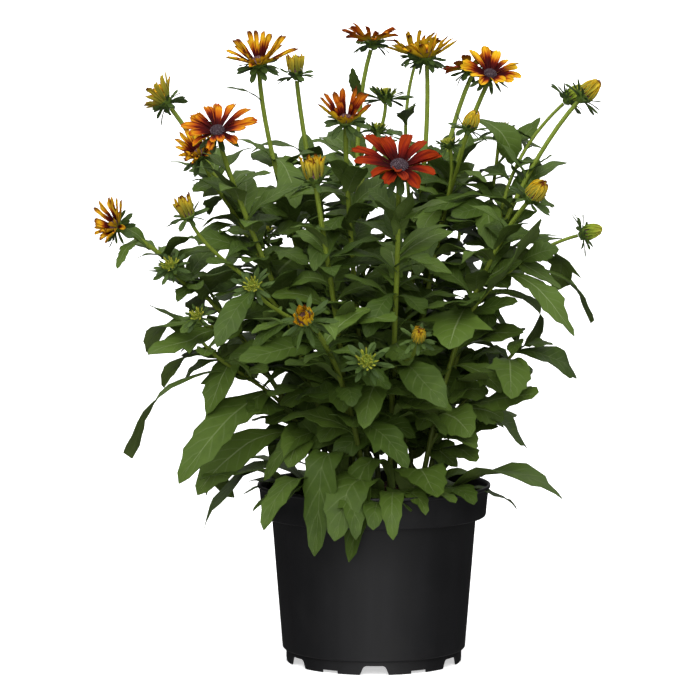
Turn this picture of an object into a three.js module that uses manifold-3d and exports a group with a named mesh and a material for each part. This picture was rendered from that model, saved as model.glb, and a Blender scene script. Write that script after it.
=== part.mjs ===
// A black-eyed susan in a black nursery pot, in millimetres with +Z up.
// The origin is the middle of the pot's base, and -Y is the front of the plant.
import * as THREE from "three";
import { mergeVertices } from "three/addons/utils/BufferGeometryUtils.js";
import Module from "manifold-3d";

const wasm = await Module();
wasm.setup();

// Driving dimensions
const GAP = 0.3; // between pieces that touch
const ROUND_SIDES = 30; // sides of the pot and of the soil
const WALL = 1.6;
const POT = {
  height: 145.5,
  lipRadius: 95,
  lipHeight: 3,
  lipOverhang: 1.2,
  bandBottom: 119.4,
  bandRadius: 91.2,
  bodyTopRadius: 83.3,
  bodyBottomRadius: 74.6,
  skirtHeight: 11,
  skirtRadius: 71.6,
  floorUnderside: 9,
  padRadius: 16,
  padSlope: 1.5,
  sectors: 6,
  notch: { topWidth: 17, bottomWidth: 24, height: 7.4 },
  arch: { width: 14, height: 2.4 },
  drain: { radius: 5, ring: 46, sides: 12 },
};
const SOIL = { top: 136, edgeTop: 134, crownTop: 137.5, crownRadius: 50 };
const STEM = { radius: 2.1, shootRadius: 1.6, sides: 5, steps: 6, shootSteps: 4, depth: 16 };
const HEAD_SIDES = 6;
const LEAF_KEEL = 1.5; // depth of a leaf at its midrib
const BASAL_DEPTH = 10; // how far a leaf that rises from the soil goes into it
const BLADE_STEPS = 24; // steps in which the path of a blade is followed
const SHARED_WITH_STEM = 40; // cubic millimetres of a leaf's foot that may lie inside its stem

// How stems and shoots bend, as shares of their length
const STEM_BEND = { lean: 0.16, climb: 0.36, arrive: 0.25 };
const SHOOT_BEND = { outward: 0.5, leave: 0.35, arrive: 0.3 };

// Leaves in a spiral up each stem: the sizes and angles go from the first value to the second
const SPIRAL = {
  spacing: 44,
  turn: 137.5,
  turnPerStem: 77,
  firstHeight: 22,
  heightPerStem: 7,
  heights: 4,
  topShare: 0.8,
  topHeight: 400,
  length: [88, 46],
  width: [22, 13],
  rise: [48, 58],
  droop: [85, 65],
};
const HEADSPACE = { low: [50, 8, 138], high: [76, 42, 160] }; // bare soil kept free of leaves

const COLOURS = {
  pot: 0x232427,
  soil: 0x3b261b,
  stem: 0x4a6b2e,
  leaf: 0x3d5c2b,
  openFlower: 0xb4521d,
  halfOpenFlower: 0xc98a22,
  bud: 0x8c9a35,
};

// Parts that all flower heads share, at full size: the green cup and where bracts and petals stand on it
const CUP = [[0, 0], [2.2, 0], [4, 2.5], [7.2, 6]];
const BRACT_FOOT = { radius: 3.4, height: 4.2, keel: 1.1 };
const PETAL_FOOT = { radius: 4.6, height: 7.6, keel: 1 };

// Kinds of flower head, at full size
const OPEN = {
  colour: COLOURS.openFlower,
  name: "open_flower",
  petals: { count: 12, length: 29, width: 8.5, rise: 14, droop: 22 },
  bracts: { count: 7, length: 17, width: 4, rise: -5, droop: 25 },
  dome: [[7.5, 9.5], [5, 14], [0, 15.5]],
};
const SIDE_ON = { ...OPEN, petals: { ...OPEN.petals, rise: 34, droop: 26 } };
const HALF_OPEN = {
  colour: COLOURS.halfOpenFlower,
  name: "half_open_flower",
  petals: { count: 10, length: 25, width: 6.5, rise: 58, droop: 10 },
  bracts: { count: 7, length: 17, width: 4, rise: 5, droop: 30 },
  dome: [[7.2, 9], [5.4, 12], [0, 14]],
};
const BUD = {
  colour: COLOURS.bud,
  name: "flower_bud",
  petals: null,
  bracts: { count: 7, length: 17, width: 4, rise: 12, droop: 35 },
  dome: [[8, 11], [5.5, 17.5], [0, 19.5]],
};
const GREEN_BUD = {
  ...BUD,
  bracts: { ...BUD.bracts, rise: 40, droop: 45 },
  dome: [[7, 9], [5, 12.5], [0, 13.5]],
};

// The plant: each stem leaves the soil at its foot, and carries a head at its neck.
// A shoot leaves the stem at a fraction of its length. A leaf row gives the shoot it grows on (0 is the
// stem itself), the fraction of the length, azimuth, length, width, rise, droop and twist.
const STEMS = [
  {
    foot: [-34, -6],
    head: { kind: HALF_OPEN, size: 0.85, neck: [-202, -30, 354], facing: [-0.8, -0.35, 0.45] },
    shoots: [
      { from: 0.62, head: { kind: GREEN_BUD, size: 0.8, neck: [-160, -60, 323], facing: [-0.3, -0.65, 0.7] } },
      { from: 0.5, head: { kind: GREEN_BUD, size: 0.65, neck: [-138, -80, 286], facing: [-0.3, -0.7, 0.6] } },
      { from: 0.26, tip: [-136, -60, 265], arrive: [-0.6, -0.2, 0.75] },
    ],
    leaves: [
      [0, 0.29, 180, 135, 20, 10, 145, 40],
      [0, 0.34, -115, 145, 23, 10, 80, 30],
      [0, 0.47, -110, 90, 18, 10, 95, 20],
      [0, 0.58, -130, 80, 20, 65, 60, -20],
      [0, 0.92, -120, 40, 7, 10, 90, 0],
      [2, 0.19, -130, 85, 21, 10, 50, 30],
      [2, 0.79, 155, 90, 12, 20, 100, 50],
      [3, 0.63, -135, 135, 18, 10, 120, 60],
      [3, 0.79, -165, 40, 16, 10, 90, 20],
      [3, 0.9, 165, 60, 12, 10, 100, 40],
    ],
  },
  {
    foot: [-30, 14],
    arrive: [-0.6, 0.1, 0.79],
    head: { kind: HALF_OPEN, size: 0.85, neck: [-167, 60, 449], facing: [-0.69, 0.1, 0.72] },
    shoots: [
      {
        from: 0.62,
        arrive: [-0.25, -0.3, 0.92],
        head: { kind: HALF_OPEN, size: 0.8, neck: [-138, 0, 408], facing: [-0.45, -0.35, 0.82] },
      },
    ],
    leaves: [],
  },
  {
    foot: [-24, -22],
    arrive: [-0.2, -0.45, 0.87],
    head: { kind: OPEN, size: 0.93, neck: [-123, -60, 427], facing: [-0.1, -0.62, 0.78] },
    shoots: [
      {
        from: 0.42,
        leave: [-0.3, -0.2, 1],
        arrive: [-0.42, -0.2, 0.88],
        head: { kind: BUD, size: 0.9, neck: [-144, -90, 363], facing: [-0.35, -0.35, 0.87] },
      },
    ],
    leaves: [
      [0, 0.29, -105, 95, 8, 15, 15, 0],
      [0, 0.31, -60, 90, 14, 25, 35, 0],
      [1, 0.37, -110, 85, 14, 10, 80, 0],
      [1, 0.57, 125, 65, 18, 10, 75, 0],
    ],
  },
  {
    foot: [-16, 24],
    head: { kind: HALF_OPEN, size: 1.05, neck: [-94, 50, 479], facing: [-0.05, -0.2, 0.98] },
    shoots: [{ from: 0.5, head: { kind: GREEN_BUD, size: 0.6, neck: [-88, 10, 346], facing: [0, -0.1, 1] } }],
    leaves: [
      [0, 0.45, -115, 85, 16, 10, 45, 0],
      [0, 0.53, -105, 90, 28, 10, 55, 0],
      [0, 0.76, -70, 70, 13, 10, 100, 30],
      [0, 0.91, -125, 45, 7, 45, 65, 0],
      [1, 0.79, -105, 80, 13, 25, 50, 0],
    ],
  },
  {
    foot: [-8, 36],
    head: { kind: BUD, size: 0.9, neck: [-64, 110, 471], facing: [-0.1, 0, 0.99] },
    shoots: [
      {
        from: 0.3,
        leave: [-0.2, 0.4, 1],
        head: { kind: BUD, size: 0.8, neck: [-65, 150, 338], facing: [-0.1, 0.3, 0.95] },
      },
    ],
    leaves: [[0, 0.76, -125, 50, 8, 20, 30, 0]],
  },
  {
    foot: [-14, -33],
    head: { kind: BUD, size: 1, neck: [-46, -100, 390], facing: [-0.15, -0.1, 0.98] },
    shoots: [
      {
        from: 0.42,
        arrive: [-0.3, -0.7, 0.65],
        head: { kind: GREEN_BUD, size: 0.8, neck: [-93, -140, 314], facing: [-0.2, -0.85, 0.5] },
      },
    ],
    leaves: [
      [0, 0.53, -60, 85, 18, 35, 45, 0],
      [1, 0.22, -130, 90, 16, 10, 40, 0],
      [1, 0.25, -70, 75, 12, 30, 5, 0],
      [1, 0.51, -145, 45, 10, 10, 85, 0],
    ],
  },
  {
    foot: [-4, -46],
    arrive: [-0.45, -0.75, 0.5],
    head: { kind: BUD, size: 0.95, neck: [-52, -165, 291], facing: [-0.2, -0.9, 0.4] },
    shoots: [],
    leaves: [],
  },
  {
    foot: [-4, -8],
    head: { kind: HALF_OPEN, size: 0.95, neck: [-23, -40, 435], facing: [0, -0.3, 0.95] },
    shoots: [{ from: 0.7, head: { kind: GREEN_BUD, size: 0.8, neck: [2, 20, 427], facing: [0.1, 0.1, 0.99] } }],
    leaves: [
      [0, 0.67, -105, 95, 12, 20, 25, 0],
      [0, 0.73, -110, 95, 15, 10, 70, 0],
      [0, 0.91, 115, 60, 7, 30, 40, 0],
    ],
  },
  {
    foot: [4, 20],
    arrive: [0.29, 0, 0.96],
    head: { kind: SIDE_ON, size: 0.85, neck: [-2, 110, 497], facing: [0.05, 0.05, 1] },
    shoots: [{ from: 0.62, head: { kind: GREEN_BUD, size: 1, neck: [10, 80, 452], facing: [0, 0.1, 1] } }],
    leaves: [[0, 0.86, -105, 40, 7, 25, -40, 0]],
  },
  {
    foot: [16, 34],
    head: { kind: HALF_OPEN, size: 0.95, neck: [44, 60, 484], facing: [-0.05, 0.05, 1] },
    shoots: [
      {
        from: 0.48,
        leave: [0, 0.2, 1],
        arrive: [0.3, 0.15, 0.93],
        head: { kind: HALF_OPEN, size: 0.9, neck: [36, 130, 486], facing: [-0.1, 0.3, 0.95] },
      },
    ],
    leaves: [],
  },
  {
    foot: [12, -34],
    arrive: [-0.02, -0.45, 0.89],
    head: { kind: OPEN, size: 1.12, neck: [18, -120, 400], facing: [0.05, -0.58, 0.81] },
    shoots: [
      { from: 0.3, head: { kind: GREEN_BUD, size: 0.95, neck: [-7, -160, 258], facing: [0, -0.9, 0.4] } },
      {
        from: 0.36,
        arrive: [0.1, -0.6, 0.8],
        head: { kind: BUD, size: 0.75, neck: [32, -150, 274], facing: [0.1, -0.8, 0.6] },
      },
    ],
    leaves: [
      [0, 0.4, -110, 95, 18, 10, 75, 0],
      [0, 0.43, -80, 95, 20, 10, 70, 0],
      [0, 0.61, -110, 65, 16, 10, 80, 0],
      [0, 0.67, -35, 50, 16, 50, 105, 0],
    ],
  },
  {
    foot: [20, -8],
    arrive: [0.42, -0.25, 0.87],
    head: { kind: OPEN, size: 0.85, neck: [93, 20, 471], facing: [0.15, -0.6, 0.78] },
    shoots: [
      {
        from: 0.62,
        arrive: [0.22, -0.1, 0.97],
        head: { kind: BUD, size: 0.85, neck: [73, -40, 430], facing: [0.35, -0.1, 0.93] },
      },
      { from: 0.55, head: { kind: GREEN_BUD, size: 0.7, neck: [61, -10, 417], facing: [-0.2, -0.1, 1] } },
    ],
    leaves: [
      [0, 0.38, -65, 85, 12, 10, 25, 0],
      [0, 0.88, -35, 60, 18, 10, 130, 20],
      [2, 0.28, -105, 95, 15, 10, 75, 0],
    ],
  },
  {
    foot: [28, 20],
    arrive: [0.4, 0.3, 0.87],
    head: { kind: OPEN, size: 0.85, neck: [81, 80, 474], facing: [-0.5, 0.5, 0.7] },
    shoots: [
      {
        from: 0.26,
        leave: [0.15, 0.5, 1],
        head: { kind: BUD, size: 0.8, neck: [74, 142, 342], facing: [0.1, 0.3, 0.95] },
      },
    ],
    leaves: [[0, 0.31, -75, 85, 18, 10, 55, 0]],
  },
  {
    foot: [40, 4],
    arrive: [0.66, 0.1, 0.74],
    head: { kind: BUD, size: 1, neck: [164, 0, 455], facing: [0.72, 0.1, 0.68] },
    shoots: [
      {
        from: 0.52,
        leave: [0, 0.1, 1],
        arrive: [0.05, 0, 1],
        head: { kind: GREEN_BUD, size: 0.8, neck: [103, 50, 427], facing: [0.05, 0, 1] },
      },
      {
        from: 0.6,
        leave: [0.05, 0, 1],
        arrive: [0.74, 0, 0.67],
        head: { kind: BUD, size: 0.9, neck: [156, 50, 453], facing: [0.75, 0, 0.66] },
      },
    ],
    leaves: [
      [0, 0.13, -65, 80, 15, 25, 50, 20],
      [0, 0.28, -70, 85, 16, 10, 5, 0],
      [0, 0.7, 30, 50, 11, 10, 45, 0],
      [1, 0.07, -50, 85, 15, 15, 60, -20],
      [1, 0.5, -100, 90, 15, 10, 75, 0],
      [1, 0.76, -5, 55, 14, 55, 25, 0],
      [1, 0.92, 15, 45, 10, 25, 55, 0],
      [2, 0.44, 30, 70, 10, 40, 155, 0],
    ],
  },
  {
    foot: [34, -24],
    head: { kind: BUD, size: 1, neck: [120, -60, 376], facing: [0.6, -0.3, 0.75] },
    shoots: [
      { from: 0.55, head: { kind: BUD, size: 0.85, neck: [163, -30, 349], facing: [0.95, -0.1, 0.25] } },
      { from: 0.18, tip: [119, -20, 263], arrive: [0.5, -0.1, 0.85] },
    ],
    leaves: [
      [0, 0.6, -105, 85, 30, 10, 60, 0],
      [1, 0.18, -50, 95, 33, 45, 0, 0],
      [1, 0.26, 0, 105, 16, 10, 145, 0],
      [1, 0.42, -55, 90, 15, 10, 90, -20],
      [1, 0.48, 0, 100, 18, 10, 100, -30],
      [1, 0.7, 25, 60, 20, 10, 135, -30],
      [2, 0.34, -15, 80, 21, 10, 100, -20],
      [2, 0.4, -40, 75, 30, 15, 10, 40],
      [2, 0.79, -80, 80, 20, 30, 90, -30],
      [2, 0.91, -25, 65, 21, 10, 100, -30],
    ],
  },
];

// Leaves that rise from the soil: foot, azimuth, length, width, rise, droop and twist
const BASAL_LEAVES = [
  { foot: [-44, -34], azimuth: -112, length: 135, width: 24, rise: 66, droop: 135, twist: 10 },
  { foot: [-52, -20], azimuth: -160, length: 112, width: 30, rise: 66, droop: 92, twist: 0 },
  { foot: [-26, -56], azimuth: -104, length: 125, width: 24, rise: 80, droop: 150, twist: 0 },
  { foot: [6, -66], azimuth: -114, length: 104, width: 26, rise: 80, droop: 140, twist: -20 },
  { foot: [16, -58], azimuth: -96, length: 125, width: 22, rise: 80, droop: 150, twist: 10 },
  { foot: [30, -54], azimuth: -72, length: 110, width: 34, rise: 82, droop: 115, twist: 0 },
  { foot: [50, -27], azimuth: -20, length: 128, width: 28, rise: 68, droop: 118, twist: 0 },
  { foot: [44, 48], azimuth: 60, length: 115, width: 26, rise: 66, droop: 110, twist: 0 },
  { foot: [-10, 60], azimuth: 104, length: 120, width: 27, rise: 66, droop: 115, twist: 0 },
  { foot: [-48, 38], azimuth: 142, length: 110, width: 25, rise: 60, droop: 100, twist: 0 },
];

// Outlines of blades: the place of each station along the length and its share of the full width
const LEAF_OUTLINE = [[0, 0.14], [0.25, 0.3], [0.5, 0.95], [0.76, 0.85], [1, 0]];
const PETAL_OUTLINE = [[0, 0.22], [0.6, 1], [1, 0.55]];
const BRACT_OUTLINE = [[0, 1], [1, 0]];

const radians = THREE.MathUtils.degToRad;
const vector = (list) => new THREE.Vector3(...list);
const direction = (list) => vector(list).normalize();

// Turns a closed three.js geometry into a solid that can be joined and cut.
function solidOf(geometry) {
  const bare = geometry.clone();
  bare.deleteAttribute("normal");
  bare.deleteAttribute("uv");
  const merged = mergeVertices(bare, 1e-3);
  return new wasm.Manifold(
    new wasm.Mesh({
      numProp: 3,
      vertProperties: new Float32Array(merged.attributes.position.array),
      triVerts: new Uint32Array(merged.index.array),
    }),
  );
}

function geometryOf(solid) {
  const mesh = solid.getMesh();
  const geometry = new THREE.BufferGeometry();
  geometry.setAttribute("position", new THREE.BufferAttribute(mesh.vertProperties, 3));
  geometry.setIndex(new THREE.BufferAttribute(mesh.triVerts, 1));
  return geometry;
}

// A closed profile of [radius, height] points turned about the vertical axis.
function turned(profile, sides) {
  const points = profile.map(([radius, height]) => new THREE.Vector2(radius, height));
  return solidOf(new THREE.LatheGeometry(points, sides).rotateX(Math.PI / 2));
}

function turnedAboutAxis(geometry, degrees) {
  return solidOf(geometry.clone().rotateZ(radians(degrees)));
}

// Pot

function potSolid() {
  const innerPad = POT.padRadius - WALL;
  const lipInner = POT.lipRadius - WALL - POT.lipOverhang;
  const outer = [
    [0, 0],
    [POT.padRadius, 0],
    [POT.padRadius + POT.padSlope, POT.floorUnderside],
    [POT.skirtRadius - WALL, POT.floorUnderside],
    [POT.skirtRadius - WALL, 0],
    [POT.skirtRadius, 0],
    [POT.skirtRadius, POT.skirtHeight],
    [POT.bodyBottomRadius, POT.skirtHeight],
    [POT.bodyTopRadius, POT.bandBottom],
    [POT.bandRadius, POT.bandBottom],
    [POT.lipRadius - POT.lipOverhang, POT.height - POT.lipHeight],
    [POT.lipRadius, POT.height - POT.lipHeight],
    [POT.lipRadius, POT.height],
  ];
  const inner = [
    [lipInner, POT.height],
    [POT.bandRadius - WALL, POT.bandBottom + WALL],
    [POT.bodyTopRadius - WALL, POT.bandBottom + WALL],
    [POT.bodyBottomRadius - WALL, POT.floorUnderside + WALL],
    [innerPad + POT.padSlope, POT.floorUnderside + WALL],
    [innerPad, WALL],
    [0, WALL],
  ];
  let pot = turned([...outer, ...inner], ROUND_SIDES);
  for (const cutter of [...notchCutters(), ...drainCutters()]) pot = pot.subtract(cutter);
  return pot;
}

// Flared notches, with a shallow arch in the skirt halfway between each two.
function notchCutters() {
  const { notch, arch } = POT;
  const outline = new THREE.Shape([
    new THREE.Vector2(-notch.bottomWidth / 2, -1),
    new THREE.Vector2(notch.bottomWidth / 2, -1),
    new THREE.Vector2(notch.topWidth / 2, notch.height),
    new THREE.Vector2(-notch.topWidth / 2, notch.height),
  ]);
  const reach = 20;
  const start = POT.skirtRadius - reach / 2;
  const flared = new THREE.ExtrudeGeometry(outline, { depth: reach, bevelEnabled: false });
  flared.rotateX(Math.PI / 2).translate(0, -start, 0);
  const shallow = new THREE.BoxGeometry(arch.width, reach, 2 * arch.height);
  shallow.translate(0, -POT.skirtRadius, 0);
  const cutters = [];
  for (let i = 0; i < POT.sectors; i++) {
    const turn = (360 / POT.sectors) * i;
    cutters.push(turnedAboutAxis(flared, turn), turnedAboutAxis(shallow, turn + 180 / POT.sectors));
  }
  return cutters;
}

function drainCutters() {
  const { radius, ring, sides } = POT.drain;
  const hole = new THREE.CylinderGeometry(radius, radius, 4 * WALL, sides);
  hole.rotateX(Math.PI / 2).translate(0, -ring, POT.floorUnderside);
  const sector = 360 / POT.sectors;
  return Array.from({ length: POT.sectors }, (_, i) => turnedAboutAxis(hole, sector * (i + 0.5)));
}

// Soil, with a socket for each stem and each basal leaf

function soilSolid(sockets) {
  const clear = WALL + 2 * GAP;
  const floor = POT.floorUnderside + WALL + GAP;
  const ledge = POT.bandBottom + WALL + GAP;
  const profile = [
    [0, WALL + GAP],
    [POT.padRadius - clear, WALL + GAP],
    [POT.padRadius + POT.padSlope - clear, floor],
    [POT.bodyBottomRadius - clear, floor],
    [POT.bodyTopRadius - clear, ledge],
    [POT.bandRadius - clear, ledge],
    [POT.bandRadius - clear, SOIL.edgeTop],
    [SOIL.crownRadius, SOIL.top],
    [0, SOIL.crownTop],
  ];
  let soil = turned(profile, ROUND_SIDES);
  for (const socket of sockets) soil = soil.subtract(socket);
  return soil;
}

// Stems and shoots

function tubeSolid(curve, radius, steps) {
  const corners = Array.from({ length: STEM.sides }, (_, i) => {
    const angle = (2 * Math.PI * i) / STEM.sides;
    return new THREE.Vector2(radius * Math.cos(angle), radius * Math.sin(angle));
  });
  const options = { steps, extrudePath: curve, bevelEnabled: false };
  return solidOf(new THREE.ExtrudeGeometry(new THREE.Shape(corners), options));
}

// The stem climbs steeply from its foot, leans out, and bends to the way in which it meets its head.
function stemCurve(stem, depth) {
  const start = vector([...stem.foot, SOIL.top - depth]);
  const end = vector(stem.head.neck);
  const reach = end.clone().sub(start);
  const length = reach.length();
  const lean = reach.clone().setZ(0).multiplyScalar(STEM_BEND.lean);
  const first = start.clone().add(lean).add(vector([0, 0, STEM_BEND.climb * length]));
  const arrival = direction(stem.arrive ?? stem.head.facing);
  const last = end.clone().addScaledVector(arrival, -STEM_BEND.arrive * length);
  return new THREE.CubicBezierCurve3(start, first, last, end);
}

function shootCurve(parent, shoot) {
  const start = parent.getPoint(shoot.from);
  const end = vector(shoot.tip ?? shoot.head.neck);
  const reach = end.clone().sub(start);
  const length = reach.length();
  const along = parent.getTangent(shoot.from);
  const outward = along.addScaledVector(reach, SHOOT_BEND.outward / length).normalize();
  const leaving = shoot.leave ? direction(shoot.leave) : outward;
  const arrival = direction(shoot.arrive ?? shoot.head.facing);
  const first = start.clone().addScaledVector(leaving, SHOOT_BEND.leave * length);
  const last = end.clone().addScaledVector(arrival, -SHOOT_BEND.arrive * length);
  return new THREE.CubicBezierCurve3(start, first, last, end);
}

// Blades: leaves, petals and bracts

// Stations along an arc that starts at a rise and bends down by the droop, each with the blade's frame.
function bladeStations(blade, outline) {
  const point = vector(blade.base);
  const stations = [];
  let next = 0;
  for (let i = 0; i <= BLADE_STEPS; i++) {
    const share = i / BLADE_STEPS;
    const azimuth = radians(blade.azimuth);
    const climb = radians(blade.rise - blade.droop * share);
    const tangent = new THREE.Vector3(
      Math.cos(climb) * Math.cos(azimuth),
      Math.cos(climb) * Math.sin(azimuth),
      Math.sin(climb),
    );
    const side = new THREE.Vector3(Math.sin(azimuth), -Math.cos(azimuth), 0);
    side.applyAxisAngle(tangent, radians((blade.twist ?? 0) * share));
    while (next < outline.length && share >= outline[next][0] - 0.5 / BLADE_STEPS) {
      const normal = side.clone().cross(tangent);
      stations.push({ point: point.clone(), side, normal, width: outline[next][1] * blade.width });
      next++;
    }
    point.addScaledVector(tangent, blade.length / BLADE_STEPS);
  }
  return stations;
}

// A thin solid with a flat upper face and a keel along its midrib. Grow widens and deepens it all round.
function bladeSolid(blade, outline, grow = 0) {
  const rings = bladeStations(blade, outline).map(({ point, side, normal, width }) => {
    const half = width / 2 + grow;
    const keel = -(blade.keel + grow);
    if (half <= 0) return [point];
    const top = point.clone().addScaledVector(normal, grow);
    return [
      top.clone().addScaledVector(side, -half),
      top.clone().addScaledVector(side, half),
      point.clone().addScaledVector(normal, keel),
    ];
  });
  return solidOf(loft(rings));
}

// Skins rings of three points, of which the last may be a single tip.
function loft(rings) {
  const points = rings.flat();
  const index = [0, 2, 1];
  for (let r = 0; r + 1 < rings.length; r++) {
    const here = 3 * r;
    const tip = rings[r + 1].length === 1;
    for (let i = 0; i < 3; i++) {
      const a = here + i;
      const b = here + ((i + 1) % 3);
      if (tip) index.push(a, b, here + 3);
      else index.push(a, b, b + 3, a, b + 3, a + 3);
    }
  }
  const last = points.length - 1;
  if (rings.at(-1).length === 3) index.push(last - 2, last - 1, last);
  const geometry = new THREE.BufferGeometry().setFromPoints(points);
  geometry.setIndex(index);
  return geometry;
}

// Flower heads, in a frame whose +Z is the way the head faces

function headSolid(kind, size) {
  const profile = [...CUP, ...kind.dome].map(([radius, height]) => [radius * size, height * size]);
  let head = turned(profile, HEAD_SIDES);
  const rings = [{ ring: kind.bracts, outline: BRACT_OUTLINE, foot: BRACT_FOOT }];
  if (kind.petals) rings.push({ ring: kind.petals, outline: PETAL_OUTLINE, foot: PETAL_FOOT });
  for (const { ring, outline, foot } of rings) {
    for (let i = 0; i < ring.count; i++) {
      const azimuth = (360 / ring.count) * i;
      const x = foot.radius * size * Math.cos(radians(azimuth));
      const y = foot.radius * size * Math.sin(radians(azimuth));
      const base = [x, y, foot.height * size];
      const { rise, droop } = ring;
      const length = ring.length * size;
      const width = ring.width * size;
      const blade = { base, azimuth, rise, droop, length, width, keel: foot.keel };
      head = head.add(bladeSolid(blade, outline));
    }
  }
  return head;
}

// The head sits just off the end of its stem, with room for the angle between the two.
function headPose(head, arrival, radius) {
  const facing = direction(head.facing);
  const tilt = facing.angleTo(arrival);
  const clearance = GAP + radius * Math.sin(tilt);
  const position = vector(head.neck).addScaledVector(facing, clearance);
  const quaternion = new THREE.Quaternion().setFromUnitVectors(new THREE.Vector3(0, 0, 1), facing);
  return { position, quaternion };
}

// Assembly

const plant = new THREE.Group();
const placed = new Map(); // name to the solid where it stands

function addMesh(name, solid, colour, roughness, pose) {
  const material = new THREE.MeshStandardMaterial({ color: colour, roughness, metalness: 0 });
  const mesh = new THREE.Mesh(geometryOf(solid), material);
  mesh.name = name;
  if (pose) {
    mesh.position.copy(pose.position);
    mesh.quaternion.copy(pose.quaternion);
  }
  mesh.updateMatrix();
  plant.add(mesh);
  placed.set(name, solid.transform(mesh.matrix.elements));
}

const number = (n) => String(n).padStart(2, "0");
const headCounts = new Map();

function addHead(head, arrival, radius) {
  const { kind, size } = head;
  const count = (headCounts.get(kind.name) ?? 0) + 1;
  headCounts.set(kind.name, count);
  const name = kind.name + "_" + number(count);
  addMesh(name, headSolid(kind, size), kind.colour, 0.8, headPose(head, arrival, radius));
}

function basalBlade(leaf) {
  return { ...leaf, base: [...leaf.foot, SOIL.top - BASAL_DEPTH], keel: LEAF_KEEL };
}

// The socket of a basal leaf is the leaf grown all round, and a little deeper.
function basalSocket(leaf) {
  const blade = basalBlade(leaf);
  const deeper = { ...blade, base: [...leaf.foot, SOIL.top - BASAL_DEPTH - 3 * GAP] };
  return bladeSolid(deeper, LEAF_OUTLINE, 3 * GAP);
}

function boxesMeet(a, b) {
  return [0, 1, 2].every((k) => a.min[k] <= b.max[k] && b.min[k] <= a.max[k]);
}

// A leaf is clear where its grown copy meets no other piece and stays out of the bare headspace.
function isClear(grown, owner) {
  const box = grown.boundingBox();
  if (boxesMeet(box, { min: HEADSPACE.low, max: HEADSPACE.high })) return false;
  for (const [name, solid] of placed) {
    if (name === owner || !boxesMeet(box, solid.boundingBox())) continue;
    if (solid.intersect(grown).volume() > 0) return false;
  }
  return true;
}

// Leaves in a spiral up the leafy part of a stem, shorter and narrower towards the top.
function spiralLeaves(curve, stemIndex) {
  const leafyTop = Math.min(curve.getPoint(SPIRAL.topShare).z, SPIRAL.topHeight) - SOIL.top;
  const stemTop = curve.getPoint(1).z - SOIL.top;
  const leaves = [];
  let height = SPIRAL.firstHeight + SPIRAL.heightPerStem * (stemIndex % SPIRAL.heights);
  while (height < leafyTop) {
    const along = (height + STEM.depth) / (stemTop + STEM.depth);
    const azimuth = SPIRAL.turn * leaves.length + SPIRAL.turnPerStem * stemIndex;
    const between = ([low, high]) => THREE.MathUtils.lerp(low, high, height / leafyTop);
    const sizes = [SPIRAL.length, SPIRAL.width, SPIRAL.rise, SPIRAL.droop].map(between);
    leaves.push([0, along, azimuth, ...sizes, 0]);
    height += SPIRAL.spacing;
  }
  return leaves;
}

// A leaf starts inside its stem, and the two grow together.
function addLeaf(body, owner, curves, row) {
  const [shoot, along, azimuth, length, width, rise, droop, twist] = row;
  const base = curves[shoot].getPoint(along).toArray();
  const blade = { base, azimuth, length, width, rise, droop, twist, keel: LEAF_KEEL };
  const leaf = bladeSolid(blade, LEAF_OUTLINE);
  if (!isClear(bladeSolid(blade, LEAF_OUTLINE, GAP), owner)) return body;
  if (body.intersect(leaf).volume() > SHARED_WITH_STEM) return body;
  return body.add(leaf);
}

addMesh("pot", potSolid(), COLOURS.pot, 0.55);

const socketRadius = (STEM.radius + GAP) / Math.cos(Math.PI / STEM.sides);
const stemSockets = STEMS.map((stem) => {
  return tubeSolid(stemCurve(stem, STEM.depth + GAP), socketRadius, STEM.steps);
});
const basalSockets = BASAL_LEAVES.map(basalSocket);
addMesh("potting_soil", soilSolid([...stemSockets, ...basalSockets]), COLOURS.soil, 0.95);

const stemCurves = STEMS.map((stem) => {
  const main = stemCurve(stem, STEM.depth);
  return [main, ...stem.shoots.map((shoot) => shootCurve(main, shoot))];
});
const stemBodies = stemCurves.map(([main, ...shoots]) =>
  shoots.reduce(
    (body, shoot) => body.add(tubeSolid(shoot, STEM.shootRadius, STEM.shootSteps)),
    tubeSolid(main, STEM.radius, STEM.steps),
  ),
);
stemBodies.forEach((body, i) => placed.set("stem_" + number(i + 1), body));

STEMS.forEach((stem, i) => {
  const [main, ...shoots] = stemCurves[i];
  addHead(stem.head, main.getTangent(1), STEM.radius);
  stem.shoots.forEach((shoot, k) => {
    if (shoot.head) addHead(shoot.head, shoots[k].getTangent(1), STEM.shootRadius);
  });
});

BASAL_LEAVES.forEach((leaf, i) => {
  addMesh("basal_leaf_" + number(i + 1), bladeSolid(basalBlade(leaf), LEAF_OUTLINE), COLOURS.leaf, 0.75);
});

// Hand-placed leaves go on first, then the spiral fills what is left.
for (const chosen of [(stem) => stem.leaves, (stem, i) => spiralLeaves(stemCurves[i][0], i)]) {
  STEMS.forEach((stem, i) => {
    const name = "stem_" + number(i + 1);
    for (const row of chosen(stem, i)) placed.set(name, addLeaf(placed.get(name), name, stemCurves[i], row));
  });
}
STEMS.forEach((_, i) => {
  const name = "stem_" + number(i + 1);
  addMesh(name, placed.get(name), COLOURS.stem, 0.75);
});

export default plant;
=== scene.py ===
"""A black-eyed susan in a black nursery pot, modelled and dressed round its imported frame.

Everything stands in the frame's own metres: +Z is up, -Y is the front of the plant and the
origin is the middle of the pot's base. The plan of the plant is written in millimetres.
"""

import logging
import math
import random
from collections.abc import Callable, Iterator, Sequence
from contextlib import contextmanager
from dataclasses import dataclass, field, replace
from enum import Enum
from functools import cached_property, lru_cache

import bmesh
import bpy
from mathutils import Matrix, Quaternion, Vector, noise

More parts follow.
